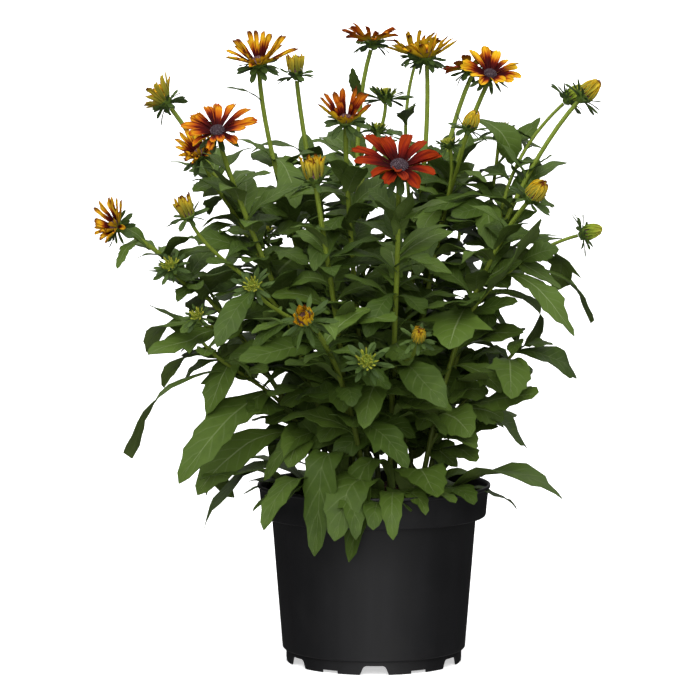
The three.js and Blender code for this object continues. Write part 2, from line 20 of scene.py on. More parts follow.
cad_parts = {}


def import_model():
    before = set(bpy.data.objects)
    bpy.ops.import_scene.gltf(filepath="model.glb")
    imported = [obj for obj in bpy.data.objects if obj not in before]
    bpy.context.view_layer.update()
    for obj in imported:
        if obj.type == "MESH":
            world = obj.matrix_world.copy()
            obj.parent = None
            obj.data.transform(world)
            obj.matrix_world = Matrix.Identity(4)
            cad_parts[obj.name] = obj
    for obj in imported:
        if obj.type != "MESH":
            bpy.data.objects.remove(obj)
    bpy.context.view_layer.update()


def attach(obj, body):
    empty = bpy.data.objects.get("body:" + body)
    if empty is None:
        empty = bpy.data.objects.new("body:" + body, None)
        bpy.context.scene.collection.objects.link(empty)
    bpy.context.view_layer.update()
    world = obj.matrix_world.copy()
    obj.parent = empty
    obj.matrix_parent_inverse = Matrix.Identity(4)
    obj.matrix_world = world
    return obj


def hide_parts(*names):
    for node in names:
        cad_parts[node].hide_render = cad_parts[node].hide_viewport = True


LOG = logging.getLogger("black_eyed_susan")
MM = 0.001
GOLDEN_TURN = 137.5
BODY = "root"
TONE = "tone"
FREE = "free"
SLIM_STEP = 0.08
BEND_STEP = 12
PETAL_THICKNESS = 0.35 * MM
BRACT_THICKNESS = 0.4 * MM
LEAF_THICKNESS = 0.45 * MM

Colour = tuple[float, float, float]
Point = tuple[float, float, float]
Outline = tuple[tuple[float, float], ...]


# Directions and curves


def heading(azimuth: float, climb: float) -> Vector:
    """The way that points along an azimuth and climbs above the horizon.

    Args:
        azimuth: degrees from +X towards +Y.
        climb: degrees above the horizon.

    Returns:
        A vector of length one.
    """
    turn = math.radians(azimuth)
    lift = math.radians(climb)
    flat = math.cos(lift)
    return Vector((flat * math.cos(turn), flat * math.sin(turn), math.sin(lift)))


def blade_place(base: Vector, azimuth: float, rise: float, roll: float = 0.0) -> Matrix:
    """Where a blade stands: X runs along it and Y comes out of its upper face.

    Args:
        base: the foot of the blade.
        azimuth: the way it points, in degrees.
        rise: how steeply it leaves its foot, in degrees.
        roll: how far it is turned about itself, in degrees.

    Returns:
        The matrix from the blade's own axes to those of what it grows on.
    """
    along = heading(azimuth, rise)
    turn = math.radians(azimuth)
    side = Vector((math.sin(turn), -math.cos(turn), 0))
    side.rotate(Quaternion(along, math.radians(roll)))
    face = side.cross(along)
    return Matrix.Translation(base) @ Matrix((along, face, side)).transposed().to_4x4()


def between(points: Outline, share: float) -> float:
    """Reads an outline at a share of its length, in straight runs from point to point.

    Args:
        points: pairs of place and value, in order of place.
        share: where to read.

    Returns:
        The value there.
    """
    for (low, before), (high, after) in zip(points, points[1:]):
        if share <= high:
            return before + (after - before) * (share - low) / (high - low)
    return points[-1][1]


@dataclass(frozen=True)
class Bend:
    """A cubic curve that a stem or a shoot follows, in metres."""

    start: Vector
    first: Vector
    last: Vector
    end: Vector

    def point(self, share: float) -> Vector:
        """The place at a share of the curve, from 0 at its start to 1 at its end.

        Args:
            share: how far along, from 0 to 1.

        Returns:
            The place.
        """
        rest = 1 - share
        return (
            self.start * rest**3
            + self.first * (3 * rest**2 * share)
            + self.last * (3 * rest * share**2)
            + self.end * share**3
        )

    def tangent(self, share: float) -> Vector:
        """The way that the curve runs at a share of it.

        Args:
            share: how far along, from 0 to 1.

        Returns:
            The unit vector.
        """
        rest = 1 - share
        run = (
            (self.first - self.start) * rest**2
            + (self.last - self.first) * (2 * rest * share)
            + (self.end - self.last) * share**2
        )
        return run.normalized()


# The modelling bench


class Bench:
    """What a hand does at the modelling bench, with Blender's operators."""

    @staticmethod
    def pick(*pieces: bpy.types.Object) -> None:
        """Selects these objects only, and makes the first one active."""
        bpy.ops.object.select_all(action="DESELECT")
        for piece in pieces:
            piece.select_set(True)
        bpy.context.view_layer.objects.active = pieces[0]

    @staticmethod
    @contextmanager
    def editing(piece: bpy.types.Object) -> Iterator[None]:
        """Keeps a piece in edit mode for the length of a with block.

        Args:
            piece: the object.

        Returns:
            A context that ends in object mode.
        """
        Bench.pick(piece)
        bpy.ops.object.mode_set(mode="EDIT")
        bpy.ops.mesh.select_mode(type="VERT")
        yield
        bpy.ops.object.mode_set(mode="OBJECT")

    @staticmethod
    def select(test: Callable[[Vector], bool]) -> None:
        """Selects the vertices of the edited mesh that stand where a test says.

        Args:
            test: takes a vertex's place and says whether it is wanted.
        """
        edited = bpy.context.edit_object.data
        mesh = bmesh.from_edit_mesh(edited)
        for vertex in mesh.verts:
            vertex.select = test(vertex.co)
        mesh.select_flush_mode()
        bmesh.update_edit_mesh(edited)

    @staticmethod
    def shift(x: float = 0, y: float = 0, z: float = 0) -> None:
        """Moves what is selected in edit mode."""
        bpy.ops.transform.translate(value=(x, y, z))

    @staticmethod
    def stretch(x: float, y: float, z: float, about: Point) -> None:
        """Scales what is selected in edit mode about a point."""
        bpy.ops.transform.resize(value=(x, y, z), center_override=about)

    @staticmethod
    def settle(piece: bpy.types.Object, place: Matrix) -> None:
        """Puts a piece in its place and writes that place into its mesh.

        Args:
            piece: the object.
            place: where it goes, with its turn and scale.
        """
        piece.matrix_world = place
        Bench.pick(piece)
        bpy.ops.object.transform_apply(location=True, rotation=True, scale=True)

    @staticmethod
    def modify(piece: bpy.types.Object, kind: str, **settings: object) -> None:
        """Gives a piece a modifier and applies it.

        Args:
            piece: the object.
            kind: the modifier's type.
            settings: its settings by name.
        """
        modifier = piece.modifiers.new(kind.title(), kind)
        for name, value in settings.items():
            setattr(modifier, name, value)
        Bench.pick(piece)
        bpy.ops.object.modifier_apply(modifier=modifier.name)

    @staticmethod
    def copy(mesh: bpy.types.Mesh, name: str) -> bpy.types.Object:
        """A new object with a mesh of its own, copied from a pattern.

        Args:
            mesh: the pattern.
            name: the new object's name.

        Returns:
            The object.
        """
        piece = bpy.data.objects.new(name, mesh.copy())
        bpy.context.collection.objects.link(piece)
        return piece

    @staticmethod
    def keep_mesh(piece: bpy.types.Object) -> bpy.types.Mesh:
        """Takes a pattern's mesh off the bench, so that no object shows it.

        Args:
            piece: the object, which is removed.

        Returns:
            Its mesh.
        """
        mesh = piece.data
        mesh.use_fake_user = True
        bpy.data.objects.remove(piece)
        return mesh

    @staticmethod
    def join(parts: Sequence[bpy.types.Object], name: str) -> bpy.types.Object:
        """Joins parts into one object.

        Args:
            parts: what is joined.
            name: the name of the whole.

        Returns:
            The joined object.
        """
        Bench.pick(*parts)
        if len(parts) > 1:
            bpy.ops.object.join()
        whole = bpy.context.view_layer.objects.active
        whole.name = name
        whole.data.name = name
        return whole

    @staticmethod
    def set_tone(piece: bpy.types.Object, tone: float) -> None:
        """Writes one number on a piece, from which its finish takes its own shade."""
        layer = piece.data.attributes.new(TONE, "FLOAT", "POINT")
        layer.data.foreach_set("value", [tone] * len(piece.data.vertices))

    @staticmethod
    def smooth(piece: bpy.types.Object, degrees: float) -> None:
        """Shades a piece smooth, apart from edges sharper than an angle."""
        Bench.pick(piece)
        bpy.ops.object.shade_smooth_by_angle(angle=math.radians(degrees))

    @staticmethod
    def crumple(piece: bpy.types.Object, size: float, depth: float) -> None:
        """Presses soft uneven waves into a piece, where its free group says.

        Args:
            piece: the object.
            size: how wide a wave is, in millimetres.
            depth: how far it moves the surface, in millimetres.
        """
        texture = bpy.data.textures.new("waves", "CLOUDS")
        texture.noise_scale = size * MM
        Bench.modify(
            piece, "DISPLACE", texture=texture, strength=depth * MM, mid_level=0.5,
            texture_coords="GLOBAL", vertex_group=FREE,
        )

    @staticmethod
    def thicken(piece: bpy.types.Object, thickness: float) -> None:
        """Gives a sheet its thickness in metres, and its lower face the next material.

        Args:
            piece: the sheet.
            thickness: in metres.
        """
        Bench.modify(
            piece, "SOLIDIFY", thickness=thickness, offset=-1,
            material_offset=1, material_offset_rim=0,
        )

    @staticmethod
    def draw_up(name: str, profile: Outline, sides: int) -> bpy.types.Object:
        """Draws a round body up ring by ring, and closes it at both ends.

        Args:
            name: the object's name.
            profile: radius and height of each ring, in millimetres.
            sides: how many sides it has.

        Returns:
            The closed body.
        """
        radius, height = profile[0]
        bpy.ops.mesh.primitive_circle_add(
            vertices=sides, radius=radius * MM, fill_type="NGON", location=(0, 0, height * MM)
        )
        body = bpy.context.object
        body.name = name
        Bench.settle(body, body.matrix_world.copy())
        with Bench.editing(body):
            bpy.ops.mesh.select_all(action="SELECT")
            for next_radius, next_height in profile[1:]:
                lift = (next_height - height) * MM
                bpy.ops.mesh.extrude_region_move(TRANSFORM_OT_translate={"value": (0, 0, lift)})
                ratio = next_radius / radius
                Bench.stretch(ratio, ratio, 1, (0, 0, next_height * MM))
                radius, height = next_radius, next_height
            bpy.ops.mesh.select_all(action="SELECT")
            bpy.ops.mesh.normals_make_consistent(inside=False)
        return body


# Shader expressions


class Field:
    """A number or a colour that runs through a shader, on which sums can be written."""

    def __init__(self, shader: "Shader", socket: bpy.types.NodeSocket) -> None:
        """Wraps one output socket of a shader."""
        self.shader = shader
        self.socket = socket

    def sum_with(self, operation: str, other: object, reflected: bool = False) -> "Field":
        """Adds a Math node on this number and another.

        Args:
            operation: what the node does.
            other: the second number or field.
            reflected: whether the other comes first.

        Returns:
            The node's result.
        """
        pair = (other, self) if reflected else (self, other)
        settings = {"operation": operation}
        return self.shader.read("ShaderNodeMath", settings, {0: pair[0], 1: pair[1]})

    def __add__(self, other: object) -> "Field":
        """This plus the other."""
        return self.sum_with("ADD", other)

    __radd__ = __add__

    def __sub__(self, other: object) -> "Field":
        """This minus the other."""
        return self.sum_with("SUBTRACT", other)

    def __rsub__(self, other: object) -> "Field":
        """The other minus this."""
        return self.sum_with("SUBTRACT", other, True)

    def __mul__(self, other: object) -> "Field":
        """This times the other."""
        return self.sum_with("MULTIPLY", other)

    __rmul__ = __mul__

    def __truediv__(self, other: object) -> "Field":
        """This over the other."""
        return self.sum_with("DIVIDE", other)

    def __pow__(self, other: object) -> "Field":
        """This to the power of the other."""
        return self.sum_with("POWER", other)

    def __abs__(self) -> "Field":
        """This without its sign."""
        return self.sum_with("ABSOLUTE", 0.0)

    def cosine(self) -> "Field":
        """The cosine of this number of radians."""
        return self.sum_with("COSINE", 0.0)

    def ease(self, low: float, high: float) -> "Field":
        """A soft step from 0 below the low end to 1 above the high end.

        Args:
            low: where the step starts.
            high: where it ends.

        Returns:
            The step.
        """
        settings = {"interpolation_type": "SMOOTHSTEP"}
        inputs = {"Value": self, "From Min": low, "From Max": high}
        return self.shader.read("ShaderNodeMapRange", settings, inputs)


class Shader:
    """The node tree of one finish."""

    def __init__(self, name: str) -> None:
        """Starts a material with a plain surface.

        Args:
            name: the material's name.
        """
        self.material = bpy.data.materials.new(name)
        self.material.use_nodes = True
        self.tree = self.material.node_tree
        self.surface = self.tree.nodes["Principled BSDF"]

    def node(
        self, kind: str, settings: dict[str, object], inputs: dict[str | int, object]
    ) -> bpy.types.Node:
        """Adds a node of any kind.

        Args:
            kind: the node's type.
            settings: its settings by name, with a ramp's stops as pairs under "stops".
            inputs: the values or fields of its sockets, by name or number.

        Returns:
            The node.
        """
        made = self.tree.nodes.new(kind)
        for name, value in settings.items():
            if name == "stops":
                self.set_stops(made.color_ramp, value)
            else:
                setattr(made, name, value)
        for key, value in inputs.items():
            if isinstance(value, Field):
                self.tree.links.new(value.socket, made.inputs[key])
            else:
                made.inputs[key].default_value = value
        return made

    def read(
        self, kind: str, settings: dict[str, object], inputs: dict[str | int, object],
        output: str | int = 0,
    ) -> Field:
        """Adds a node and reads one of its outputs.

        Args:
            kind: the node's type.
            settings: its settings by name.
            inputs: the values or fields of its sockets.
            output: which output is read.

        Returns:
            The output as a field.
        """
        return Field(self, self.node(kind, settings, inputs).outputs[output])

    @staticmethod
    def set_stops(ramp: bpy.types.ColorRamp, stops: Sequence[tuple[float, Colour]]) -> None:
        """Sets a ramp's stops, each a place and a colour.

        Args:
            ramp: the ramp.
            stops: the places and colours.
        """
        while len(ramp.elements) < len(stops):
            ramp.elements.new(1.0)
        for element, (place, colour) in zip(ramp.elements, stops):
            element.position = place
            element.color = (*colour, 1)

    def mix(self, factor: object, first: object, second: object) -> Field:
        """Mixes two colours.

        Args:
            factor: the share of the second one.
            first: a colour or a field.
            second: a colour or a field.

        Returns:
            The mixed colour.
        """
        settings = {"data_type": "RGBA"}
        inputs = {0: factor, 6: self.solid(first), 7: self.solid(second)}
        return self.read("ShaderNodeMix", settings, inputs, 2)

    @staticmethod
    def solid(colour: object) -> object:
        """A colour with its alpha, or the field as it is."""
        return colour if isinstance(colour, Field) else (*colour, 1)

    def ramp(self, factor: Field, stops: Sequence[tuple[float, Colour]]) -> Field:
        """Runs a number through a ramp of colours."""
        return self.read("ShaderNodeValToRGB", {"stops": stops}, {0: factor})

    def place(self) -> Field:
        """The place on the object, in metres."""
        return self.read("ShaderNodeTexCoord", {}, {}, "Object")

    def along_and_across(self) -> tuple[Field, Field]:
        """How far a point lies along its blade and across it, each from 0 to 1.

        Returns:
            The two fields.
        """
        chart = self.read("ShaderNodeUVMap", {"uv_map": "UVMap"}, {})
        parts = self.node("ShaderNodeSeparateXYZ", {}, {0: chart})
        return Field(self, parts.outputs[0]), Field(self, parts.outputs[1])

    def tone(self) -> Field:
        """The number that a copy carries for its own shade."""
        return self.read("ShaderNodeAttribute", {"attribute_name": TONE}, {}, "Fac")

    def height(self) -> Field:
        """How high a point stands on the object, in metres."""
        return self.read("ShaderNodeSeparateXYZ", {}, {0: self.place()}, 2)

    def noise(self, where: Field, scale: float, detail: float = 3.0) -> Field:
        """Soft uneven grey.

        Args:
            where: the coordinates that it follows.
            scale: how fine it is.
            detail: how many finer layers it holds.

        Returns:
            A number round one half.
        """
        inputs = {"Vector": where, "Scale": scale, "Detail": detail}
        return self.read("ShaderNodeTexNoise", {}, inputs, 0)

    def stretched(self, where: Field, scale: Point) -> Field:
        """Coordinates drawn out or pressed together along their axes."""
        return self.read("ShaderNodeMapping", {}, {"Vector": where, "Scale": scale})

    def streaks(self, across: Field, along: Field, count: float, length: float) -> Field:
        """Fine lines that run along a blade.

        Args:
            across: the share across.
            along: the share along.
            count: how many lie side by side.
            length: how many follow each other.

        Returns:
            A number round one half.
        """
        parts = {0: along * length, 1: across * count, 2: self.tone() * 9}
        chart = self.read("ShaderNodeCombineXYZ", {}, parts)
        return self.noise(chart, 1.0, 2.0)

    def finish(
        self, colour: Field, roughness: object, relief: Field | None = None,
        strength: float = 0.3, depth: float = MM, **constants: object,
    ) -> bpy.types.Material:
        """Closes the shader.

        Args:
            colour: the base colour.
            roughness: a number or a field.
            relief: the height of the surface's fine relief.
            strength: how strongly the relief shows.
            depth: the relief's depth in metres.
            constants: other values of the surface, with spaces written as underscores.

        Returns:
            The material.
        """
        self.link("Base Color", colour)
        self.link("Roughness", roughness)
        if relief is not None:
            settings = {"Strength": strength, "Distance": depth, "Height": relief}
            self.link("Normal", self.read("ShaderNodeBump", {}, settings))
        for name, value in constants.items():
            self.surface.inputs[name.replace("_", " ")].default_value = value
        return self.material

    def link(self, name: str, value: object) -> None:
        """Feeds one socket of the surface with a field or a number.

        Args:
            name: the socket.
            value: what feeds it.
        """
        if isinstance(value, Field):
            self.tree.links.new(value.socket, self.surface.inputs[name])
        else:
            self.surface.inputs[name].default_value = value


class SkyShader(Shader):
    """The node tree of the studio's sky."""

    def __init__(self, world: bpy.types.World) -> None:
        """Starts with an even white sky.

        Args:
            world: the scene's world.
        """
        world.use_nodes = True
        self.tree = world.node_tree
        self.surface = self.tree.nodes["Background"]
        self.surface.inputs["Color"].default_value = (1, 1, 1, 1)


# Finishes


@dataclass(frozen=True)
class LeafFinish:
    """Matte green skin with a pale midrib, slanting side veins and a mottled tone."""

    name: str
    dark: Colour
    light: Colour
    vein: Colour
    rib_width: float = 0.07
    vein_pairs: float = 9.0

    @cached_property
    def material(self) -> bpy.types.Material:
        """The material of this finish.

        Returns:
            The material.
        """
        shader = Shader(self.name)
        along, across = shader.along_and_across()
        off_rib = abs(across - 0.5) * 2
        mottle = shader.noise(shader.place(), 120.0, 4.0)
        shade = (shader.tone() * 0.7 + mottle * 0.6 - 0.1).ease(0.0, 1.0)
        green = shader.mix(shade, self.dark, self.light)
        slant = along - off_rib * 0.16
        wave = (slant * (math.tau * self.vein_pairs)).cosine() * 0.5 + 0.5
        veins = wave**18 * (1 - off_rib.ease(0.55, 1.0))
        green = shader.mix(veins * 0.16, green, self.vein)
        thin = (1 - along) * self.rib_width + 0.02
        rib = 1 - (off_rib / thin).ease(0.45, 1.2)
        green = shader.mix(rib * (shader.tone().ease(0.2, 1.0) * 0.6 + 0.15), green, self.vein)
        rim = off_rib.ease(0.93, 1.0)
        green = shader.mix(rim * 0.35, green, self.dark)
        fine = shader.noise(shader.place(), 900.0, 2.0)
        relief = fine * 0.25 + mottle * 0.5 - veins * 0.5 - rib * 0.8
        rough = mottle * 0.2 + 0.45
        return shader.finish(green, rough, relief, 0.5, 0.6 * MM, Specular_IOR_Level=0.16)


@dataclass(frozen=True)
class PetalFinish:
    """Velvety petal that passes from its foot to its tip through a run of colours."""

    name: str
    stops: tuple[tuple[float, Colour], ...]
    stripe: Colour
    stripe_depth: float = 0.5

    @cached_property
    def material(self) -> bpy.types.Material:
        """The material of this finish.

        Returns:
            The material.
        """
        shader = Shader(self.name)
        along, across = shader.along_and_across()
        streaks = shader.streaks(across, along, 6.0, 1.2)
        patch = shader.noise(shader.place(), 160.0, 2.0)
        edge = abs(across - 0.5) * 2
        reach = along + (streaks - 0.5) * 0.62 + (shader.tone() - 0.5) * 0.24
        reach = reach + (patch - 0.5) * 0.18 + (edge - 0.5) * 0.08
        colour = shader.ramp(reach, self.stops)
        colour = shader.mix((1 - streaks.ease(0.36, 0.5)) * self.stripe_depth, colour, self.stripe)
        relief = streaks * 0.8 + patch * 0.2
        return shader.finish(
            colour, patch * 0.2 + 0.6, relief, 0.6, 0.5 * MM, Specular_IOR_Level=0.06,
        )


@dataclass(frozen=True)
class DiscFinish:
    """Tiny packed florets, with painted shade in the hollows between them."""

    name: str
    inner: Colour
    outer: Colour
    speck: Colour

    @cached_property
    def material(self) -> bpy.types.Material:
        """The material of this finish.

        Returns:
            The material.
        """
        shader = Shader(self.name)
        grain = shader.noise(shader.place(), 700.0, 2.0)
        # The dome under the florets has tone 0 and takes the dark inner colour, a painted shade in
        # the hollows between the outer florets.
        colour = shader.mix(shader.tone().ease(0.2, 0.95), self.inner, self.outer)
        colour = shader.mix(grain.ease(0.52, 0.7) * 0.7, colour, self.speck)
        return shader.finish(colour, 0.7, grain, 0.6, 0.5 * MM, Specular_IOR_Level=0.25)


@dataclass(frozen=True)
class StalkFinish:
    """Ridged yellow-green stem, with painted shade that makes it darker and duller towards the
    soil.
    """

    name: str
    # foot: the darker colour low in the plant, a painted shade under the leaves.
    foot: Colour
    top: Colour

    @cached_property
    def material(self) -> bpy.types.Material:
        """The material of this finish.

        Returns:
            The material.
        """
        shader = Shader(self.name)
        where = shader.place()
        # Painted shade: the top colour darkens to the foot colour low in the plant, under the
        # leaves.
        climb = shader.height().ease(0.15, 0.33)
        colour = shader.mix(climb, self.foot, self.top)
        fibre = shader.noise(shader.stretched(where, (1.0, 1.0, 0.12)), 1500.0, 2.0)
        patch = shader.noise(where, 60.0, 3.0)
        dark = tuple(0.55 * part for part in self.foot)
        colour = shader.mix(fibre.ease(0.5, 0.75) * 0.45, colour, dark)
        colour = shader.mix(patch.ease(0.5, 0.8) * 0.35, colour, self.foot)
        return shader.finish(
            colour, patch * 0.2 + 0.42, fibre, 0.5, 0.4 * MM, Specular_IOR_Level=0.16,
        )


@dataclass(frozen=True)
class PotFinish:
    """Matte black moulded plastic with fine grain and a little dust low down."""

    name: str
    base: Colour
    dust: Colour

    @cached_property
    def material(self) -> bpy.types.Material:
        """The material of this finish.

        Returns:
            The material.
        """
        shader = Shader(self.name)
        where = shader.place()
        grain = shader.noise(where, 2600.0, 2.0)
        cloud = shader.noise(where, 34.0, 4.0)
        flow = shader.noise(shader.stretched(where, (1.0, 1.0, 0.08)), 90.0, 3.0)
        lighter = tuple(1.5 * part for part in self.base)
        colour = shader.mix(flow.ease(0.4, 0.7) * 0.5, self.base, lighter)
        low = 1 - shader.height().ease(0.0, 0.04)
        dusty = (cloud.ease(0.5, 0.75) * 0.1) + low * cloud.ease(0.45, 0.7) * 0.2
        colour = shader.mix(dusty, colour, self.dust)
        rough = cloud * 0.14 + flow * 0.08 + 0.36
        return shader.finish(
            colour, rough, grain * 0.6 + flow * 0.4, 0.22, 0.3 * MM, Specular_IOR_Level=0.3
        )


@dataclass(frozen=True)
class SoilFinish:
    """Damp peat, from near black to reddish brown, with its shade set crumb by crumb."""

    name: str
    dark: Colour
    light: Colour
    fleck: Colour

    @cached_property
    def material(self) -> bpy.types.Material:
        """The material of this finish.

        Returns:
            The material.
        """
        shader = Shader(self.name)
        where = shader.place()
        lump = shader.noise(where, 160.0, 5.0)
        fine = shader.noise(where, 1100.0, 3.0)
        shade = (lump * 0.6 + fine * 0.3 + shader.tone() * 0.5 - 0.2).ease(0.1, 0.9)
        colour = shader.mix(shade, self.dark, self.light)
        colour = shader.mix(fine.ease(0.66, 0.74), colour, self.fleck)
        return shader.finish(colour, 0.92, lump + fine * 0.5, 0.8, MM, Specular_IOR_Level=0.2)


@dataclass(frozen=True)
class FloorFinish:
    """Plain pale paper of the studio, lit from behind."""

    name: str
    colour: Colour
    glow: float

    @cached_property
    def material(self) -> bpy.types.Material:
        """The material of this finish.

        Returns:
            The material.
        """
        shader = Shader(self.name)
        cloud = shader.noise(shader.place(), 0.5, 1.0)
        shade = tuple(0.99 * part for part in self.colour)
        colour = shader.mix(cloud, self.colour, shade)
        return shader.finish(
            colour, 0.9, Specular_IOR_Level=0.1,
            Emission_Color=(1, 1, 1, 1), Emission_Strength=self.glow,
        )


MAROON: Colour = (0.022, 0.0015, 0.002)
CRIMSON: Colour = (0.085, 0.004, 0.002)
RED: Colour = (0.170, 0.009, 0.002)
SCARLET: Colour = (0.250, 0.024, 0.002)
RUST: Colour = (0.330, 0.052, 0.003)
ORANGE: Colour = (0.470, 0.135, 0.004)
AMBER: Colour = (0.560, 0.250, 0.006)
YELLOW: Colour = (0.660, 0.410, 0.014)
GOLD: Colour = (0.560, 0.390, 0.022)
OLIVE: Colour = (0.240, 0.220, 0.026)
BROWN: Colour = (0.110, 0.024, 0.005)
UMBER: Colour = (0.130, 0.060, 0.008)
MUSTARD: Colour = (0.380, 0.310, 0.030)
MOSS: Colour = (0.130, 0.170, 0.020)
GRASS: Colour = (0.100, 0.160, 0.015)
SAP: Colour = (0.110, 0.160, 0.015)
LIME: Colour = (0.250, 0.300, 0.030)
LEMON: Colour = (0.400, 0.380, 0.050)

LEAF_UPPER = LeafFinish(
    "leaf_upper", (0.030, 0.056, 0.006), (0.074, 0.122, 0.017), (0.19, 0.24, 0.10)
)
LEAF_LOWER = LeafFinish(
    "leaf_lower", (0.052, 0.084, 0.014), (0.102, 0.148, 0.032), (0.17, 0.21, 0.09)
)
BRACT_UPPER = LeafFinish(
    "bract_upper", (0.024, 0.046, 0.008), (0.060, 0.100, 0.020), (0.10, 0.15, 0.04), 0.05, 5.0
)
BRACT_LOWER = LeafFinish(
    "bract_lower", (0.034, 0.062, 0.014), (0.070, 0.112, 0.028), (0.11, 0.16, 0.05), 0.08, 5.0
)
# Both greens darken low in the plant through their foot colours, a painted shade under the leaves.
CUP_GREEN = StalkFinish("cup_green", (0.044, 0.080, 0.012), (0.080, 0.125, 0.020))
STALK_GREEN = StalkFinish("stalk_green", (0.052, 0.072, 0.010), (0.165, 0.222, 0.024))
POT_BLACK = PotFinish("pot_black", (0.0050, 0.0050, 0.0058), (0.016, 0.015, 0.014))
PEAT = SoilFinish("peat", (0.006, 0.0028, 0.002), (0.050, 0.022, 0.014), (0.20, 0.14, 0.10))
PEAT_BIT = SoilFinish("peat_bit", (0.010, 0.004, 0.003), (0.100, 0.042, 0.024), (0.26, 0.19, 0.14))
FIBRE = SoilFinish("peat_fibre", (0.050, 0.025, 0.014), (0.200, 0.120, 0.070), (0.28, 0.20, 0.13))
PERLITE = SoilFinish("perlite", (0.340, 0.320, 0.290), (0.600, 0.580, 0.550), (0.65, 0.62, 0.58))
FLOOR_WHITE = FloorFinish("studio_floor", (0.93, 0.93, 0.93), 0.55)
BACKDROP_WHITE = FloorFinish("studio_backdrop", (0.93, 0.93, 0.93), 1.2)

PETAL_RED = PetalFinish(
    "petal_red",
    ((0.20, MAROON), (0.36, CRIMSON), (0.52, RED), (0.70, SCARLET), (1.0, SCARLET)),
    CRIMSON,
    0.55,
)
PETAL_ORANGE = PetalFinish(
    "petal_orange",
    ((0.26, MAROON), (0.46, CRIMSON), (0.60, RUST), (0.76, ORANGE), (0.90, AMBER), (1.0, RUST)),
    CRIMSON,
    0.6,
)
PETAL_FLAME = PetalFinish(
    "petal_flame",
    ((0.26, MAROON), (0.46, CRIMSON), (0.58, RUST), (0.72, AMBER), (0.95, YELLOW)),
    CRIMSON,
    0.55,
)
PETAL_INSIDE = PetalFinish(
    "petal_inside",
    ((0.20, MAROON), (0.44, CRIMSON), (0.60, RUST), (0.78, ORANGE), (0.98, BROWN)),
    CRIMSON,
    0.6,
)
PETAL_STRIPED = PetalFinish(
    "petal_striped",
    ((0.20, MAROON), (0.42, CRIMSON), (0.54, ORANGE), (0.70, YELLOW), (0.88, AMBER), (1.0, BROWN)),
    CRIMSON,
    0.6,
)
PETAL_OUTSIDE = PetalFinish(
    "petal_outside",
    ((0.0, OLIVE), (0.16, GOLD), (0.40, YELLOW), (0.84, YELLOW), (1.0, BROWN)),
    RUST,
    0.26,
)
PETAL_BURNT = PetalFinish(
    "petal_burnt",
    ((0.0, OLIVE), (0.16, GOLD), (0.40, AMBER), (0.62, ORANGE), (0.84, RUST), (1.0, BROWN)),
    CRIMSON,
    0.45,
)
PETAL_OLIVE = PetalFinish(
    "petal_olive",
    ((0.0, MOSS), (0.34, OLIVE), (0.66, MUSTARD), (0.92, GOLD), (1.0, BROWN)),
    UMBER,
    0.6,
)
PETAL_GREEN = PetalFinish(
    "petal_green",
    ((0.0, GRASS), (0.5, LIME), (1.0, LEMON)),
    SAP,
    0.4,
)
DISC_PURPLE = DiscFinish(
    "disc_purple", (0.045, 0.026, 0.034), (0.090, 0.060, 0.074), (0.19, 0.15, 0.17)
)
DISC_YOUNG = DiscFinish(
    "disc_young", (0.110, 0.048, 0.050), (0.190, 0.100, 0.080), (0.32, 0.20, 0.16)
)
DISC_GREEN = DiscFinish(
    "disc_green", (0.150, 0.200, 0.014), (0.330, 0.350, 0.026), (0.46, 0.44, 0.08)
)


# Blades: leaves, petals and bracts


@dataclass(frozen=True)
class Lobe:
    """A pointed lobe on one margin of a leaf, in shares of its length and width."""

    along: float
    side: int
    reach: float
    sweep: float


